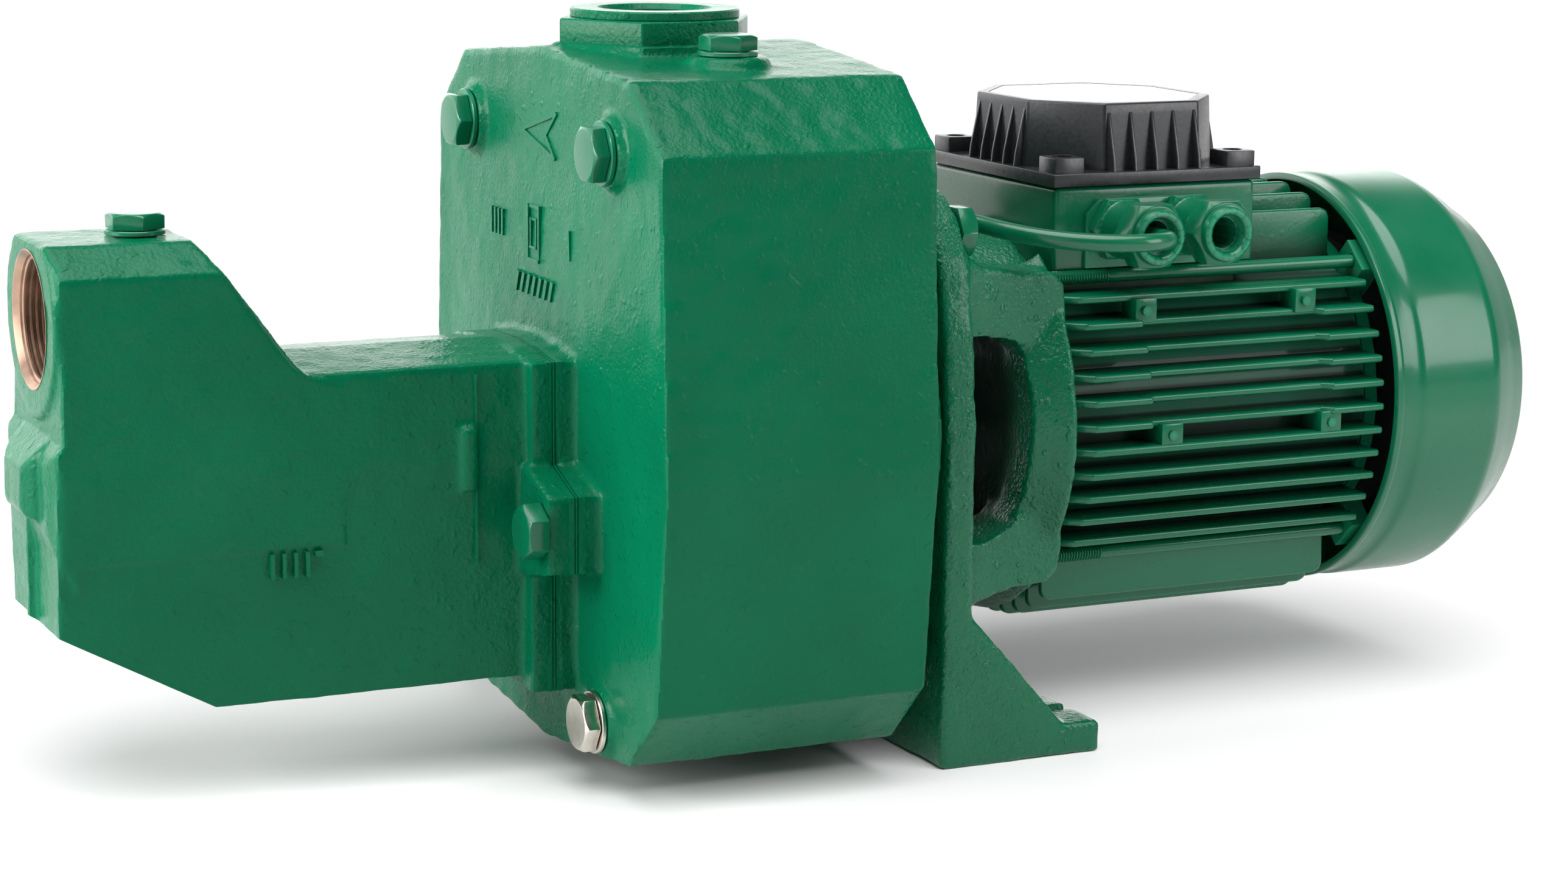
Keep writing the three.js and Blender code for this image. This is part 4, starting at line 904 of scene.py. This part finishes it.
def make_terminal_box():
    box = bevelled(block(BOX_X0, BOX_X1, -BOX_Y, BOX_Y, BOX_FLOOR, BOX_TOP), 2.2, 4)
    pad = prism([(107, 189), (107, 212), (113, 218), (161, 218), (168, 211), (168, 189)],
                "y", GLAND_WALL, -BOX_Y + 3)
    inside = bevelled(block(BOX_X0 + 4, BOX_X1 - 4, -BOX_Y + 4, BOX_Y - 4, 192, 230), 3, 3)
    cut(inside, rod(90, 200, 72, sides=160))
    cut(join(box, bevelled(pad, 0.7)), inside, rod(90, 200, CORE + 0.3, sides=160))
    pillars = []
    for x, y in PILLARS:
        pillar = bevelled(block(x - 5, x + 5, y - 5, y + 5, 194, BOX_TOP - 0.02), 1.5)
        pillars.append(cut(pillar, rod(200, 224, 2.2, "z", (x, y, 0), 32)))
    join(box, *pillars)
    cut(box, *[rod(-60, -40, 8.3, "y", (x, 0, GLAND_Z)) for x in GLAND_XS],
        rod(190, 210, WIRE_HOLE_R, "z", WIRE_HOLE_FOOT),
        *[rod(92, 190, TIE_R + 0.5, "x", (0, side * TIE_Y, SHAFT_Z + TIE_RISE), 40) for side in (-1, 1)])
    painted(box, "junction_box", "terminal_box")


def octagon(inset):
    """Outline of the lid's raised middle, drawn in by `inset`."""
    x0, x1, y = LID_X0 + 4.5 + inset, LID_X1 - 4.5 - inset, LID_Y - 6.0 - inset
    cx, cy = 21.5 - 0.4 * inset, 25.5 - 0.4 * inset
    return [(x0 + cx, -y), (x1 - cx, -y), (x1, -y + cy), (x1, y - cy),
            (x1 - cx, y), (x0 + cx, y), (x0, y - cy), (x0, -y + cy)]


def lid_rib(edge, side, insets):
    """Outline of a rib; insets are its four corners' distances in from the lid's edge."""
    foot, head = LID_FLANGE - 1, LID_TOP - 3.5
    return [(edge - side * inset, z) for inset, z in zip(insets, (foot, foot + 6, head, foot))]


def make_lid():
    flange = bevelled(block(LID_X0, LID_X1, -LID_Y, LID_Y, LID_BOTTOM, LID_FLANGE), 0.7, 3)
    dome = bevelled(tapered(octagon(0), octagon(1.2), LID_FLANGE - 2, LID_TOP), 0.9, 3)
    lid = join(flange, dome)
    extras = []
    for x, y in PILLARS:
        extras.append(bevelled(block(x - 6.8, x + 6.8, y - 6.8, y + 6.8, LID_FLANGE - 1.5, 234.8), 0.7))
    for i in range(-2, 3):
        y = i * 9.5
        x = (LID_X0 + LID_X1) / 2 + i * 10
        for side in (-1, 1):
            rib = lid_rib(LID_X1 if side > 0 else LID_X0, side, (1, 1.6, 5.4, 12))
            extras.append(bevelled(prism(rib, "y", y - 0.7, y + 0.7), 0.25, 2))
            rib = lid_rib(side * LID_Y, side, (1, 1.8, 6.8, 14))
            extras.append(bevelled(prism(rib, "x", x - 0.7, x + 0.7), 0.25, 2))
    join(lid, *extras)
    cut(lid, prism(octagon(2.5), "z", LID_BOTTOM - 1, LID_TOP - 2.5),
        prism(octagon(5.2), "z", LID_TOP - 0.5, LID_TOP + 2))
    screws = []
    for x, y in PILLARS:
        screws += [rod(LID_BOTTOM - 1, 236, 2.3, "z", (x, y, 0), 32), rod(226, 236, 4, "z", (x, y, 0), 40)]
    cut(lid, *screws)
    finish_piece(lid, "box_lid", "casing", LID_BLACK, ["terminal_box_lid"], angle=28)
    # The panel's pale grey is partly painted reflection of the backdrop on the lid's glossy top.
    panel = bevelled(prism(octagon(5.5), "z", LID_TOP - 0.55, LID_TOP - 0.12), 0.12, 2)
    finish_piece(panel, "lid_panel", "casing", PANEL)


make_terminal_box()
make_lid()

for number, (screw_x, screw_y) in enumerate(PILLARS, 1):
    screw = lathe([(206.5, 0), (206.5, 1.8), (226.4, 1.8), (226.4, 3.6), (228.2, 3.6), (228.9, 3.0),
                   (228.9, 0)], 40, "z", (screw_x, screw_y, 0))
    cut(screw, block(screw_x - 3, screw_x + 3, screw_y - 0.4, screw_y + 0.4, 227.6, 230),
        block(screw_x - 0.4, screw_x + 0.4, screw_y - 3, screw_y + 3, 227.6, 230))
    finish_piece(screw, f"lid_screw_{number}_cross", "casing", STEEL, [f"lid_screw_{number}"])

# ---------------------------------------------------------------- glands and lead

FACE_NEAR = Matrix.Rotation(math.radians(90), 4, "Z")


def make_gland(number, x):
    seat = (x, GLAND_WALL - GAP, GLAND_Z)
    base = hex_head(24, 5.5, 0.0, chamfer=1.4)
    collar = lathe([(8, 0), (8, 8), (0, 8), (0, 11), (-5, 11.2), (-6.2, 12.0), (-7.4, 11.4), (-18.6, 11.4),
                    (-20, 10.6), (-20, 9.4), (-29, 9.4), (-29, 0)], 64, "x", ORIGIN)
    body = join(base, collar)
    cut(body, rod(-40, 12, 6.2, at=ORIGIN, sides=48))
    put(body, seat, FACE_NEAR)
    painted(body, f"gland_{number}_shank", f"gland_{number}_body")
    crown = lathe([(-30, 0), (-30, 11.4), (-32.4, 11.4), (-33.6, 10.9), (-34.3, 10.0), (-34.4, 9.0),
                   (-34.4, 0)], 64, "x", ORIGIN)
    mouth = lathe([(-28, 0), (-28, 7.0), (-32.0, 7.2), (-33.2, 7.6), (-34.0, 8.4), (-34.6, 9.3), (-36, 9.3),
                   (-36, 0)], 64, "x", ORIGIN)
    nut = join(hex_head(25, 10.8, -20.4, chamfer=2.2), crown)
    cut(nut, rod(-29.4, -19, 9.8, at=ORIGIN, sides=64), mouth)
    put(nut, seat, FACE_NEAR)
    painted(nut, f"gland_{number}_cap", f"gland_{number}_nut")


for number, gland_x in enumerate(GLAND_XS, 1):
    make_gland(number, gland_x)


def make_lead():
    route = [(121.4, -76, 206.2), (121.4, -82, 206.2), (121.4, -88, 206.2), (119.8, -96.5, 206.4),
             (112, -101.5, 206.6), (100, -101.5, 206.6), (86, -97, 207), (72, -87, 208), (62, -74, 209.5),
             (55.5, -61, 211.2), (50, -50.5, 212.8), (45.5, -45.4, 213.9), (PLATE_REAR + 1.6, -43, 214.5)]
    curve = bpy.data.curves.new("lead", "CURVE")
    curve.dimensions = "3D"
    curve.bevel_depth = 3.6 * MM
    curve.bevel_resolution = 5
    curve.resolution_u = 8
    curve.use_fill_caps = True
    spline = curve.splines.new("BEZIER")
    spline.bezier_points.add(len(route) - 1)
    for point, place in zip(spline.bezier_points, route):
        point.co = [v * MM for v in place]
        point.handle_left_type = point.handle_right_type = "AUTO"
    lead = bpy.data.objects.new("signal_cable", curve)
    bpy.context.scene.collection.objects.link(lead)
    finish_piece(lead, "signal_cable", "casing", SHEET_GREEN, ["signal_lead"])


make_lead()

# ---------------------------------------------------------------- stage and light


def make_stage():
    """One plain pale floor."""
    far, shade = 12000.0, 0.62
    corners = [(-far, -far, 0), (far, -far, 0), (far, far, 0), (-far, far, 0)]
    floor = from_faces("floor", corners, [[0, 1, 2, 3]])
    matt = Nodes("floor_matt", Roughness=0.6, Specular_IOR_Level=0.2, Base_Color=(shade, shade, shade, 1.0))
    floor.data.materials.append(matt.material)
    return floor


def area_light(name, at, target, size, power):
    """A square lamp, in metres and watts, that the camera doesn't see."""
    data = bpy.data.lights.new(name, "AREA")
    data.size = size
    data.energy = power
    lamp = bpy.data.objects.new(name, data)
    bpy.context.scene.collection.objects.link(lamp)
    lamp.location = at
    lamp.rotation_euler = (Vector(target) - Vector(at)).to_track_quat("-Z", "Y").to_euler()
    lamp.visible_camera = False


def make_world():
    """Bright low down behind and at the left, and dim in front and overhead."""
    world = bpy.data.worlds.new("studio")
    bpy.context.scene.world = world
    world.use_nodes = True
    tree = world.node_tree

    def op(operation, a, b):
        node = tree.nodes.new("ShaderNodeMath")
        node.operation = operation
        for value, socket in ((a, node.inputs[0]), (b, node.inputs[1])):
            if isinstance(value, float):
                socket.default_value = value
            else:
                tree.links.new(value, socket)
        return node.outputs["Value"]

    def step(source, low, high, low_value, high_value):
        node = tree.nodes.new("ShaderNodeMapRange")
        node.interpolation_type = "SMOOTHSTEP"
        for key, value in zip(RANGE_INPUTS, (low, high, low_value, high_value)):
            node.inputs[key].default_value = value
        tree.links.new(source, node.inputs["Value"])
        return node.outputs["Result"]

    axes = tree.nodes.new("ShaderNodeSeparateXYZ")
    tree.links.new(tree.nodes.new("ShaderNodeTexCoord").outputs["Generated"], axes.inputs["Vector"])
    x, y, z = (axes.outputs[axis] for axis in "XYZ")
    back = op("MULTIPLY", step(y, -0.1, 0.35, 0.0, 2.3), step(z, 0.35, 0.7, 1.0, 0.0))
    back = op("MULTIPLY", back, step(x, 0.63, 0.76, 1.0, 0.2))
    left = op("MULTIPLY", step(x, -0.85, -0.45, 0.8, 0.0), step(z, 0.5, 0.8, 1.0, 0.0))
    strength = op("ADD", op("MAXIMUM", back, left), 0.045)
    background = tree.nodes["Background"]
    background.inputs["Color"].default_value = (1.0, 1.0, 1.0, 1.0)
    tree.links.new(strength, background.inputs["Strength"])


def overhead_light(name, energy, degrees, direction, floor, state):
    """A wide sun that lights the floor alone (INCLUDE), or everything but the floor (EXCLUDE)."""
    data = bpy.data.lights.new(name, "SUN")
    data.energy = energy
    data.angle = math.radians(degrees)
    lamp = bpy.data.objects.new(name, data)
    bpy.context.scene.collection.objects.link(lamp)
    lamp.rotation_euler = Vector(direction).to_track_quat("-Z", "Y").to_euler()
    lit = bpy.data.collections.new(name)
    lit.objects.link(floor)
    lit.collection_objects[0].light_linking.link_state = state
    lamp.light_linking.receiver_collection = lit


def make_light(floor):
    make_world()
    overhead_light("over_floor", 4.4, 52, (0.10, 0.52, -0.85), floor, "INCLUDE")
    overhead_light("over_object", 3.9, 60, (0.10, 0.10, -0.99), floor, "EXCLUDE")
    area_light("left", (-2.3, 0.1, 1.0), (0, 0, 0.15), 1.3, 70)
    area_light("right_front", (0.56, -0.60, 0.43), (0.28, -0.05, 0.15), 0.4, 2.7)


make_light(make_stage())
bpy.context.scene.view_settings.view_transform = "Standard"
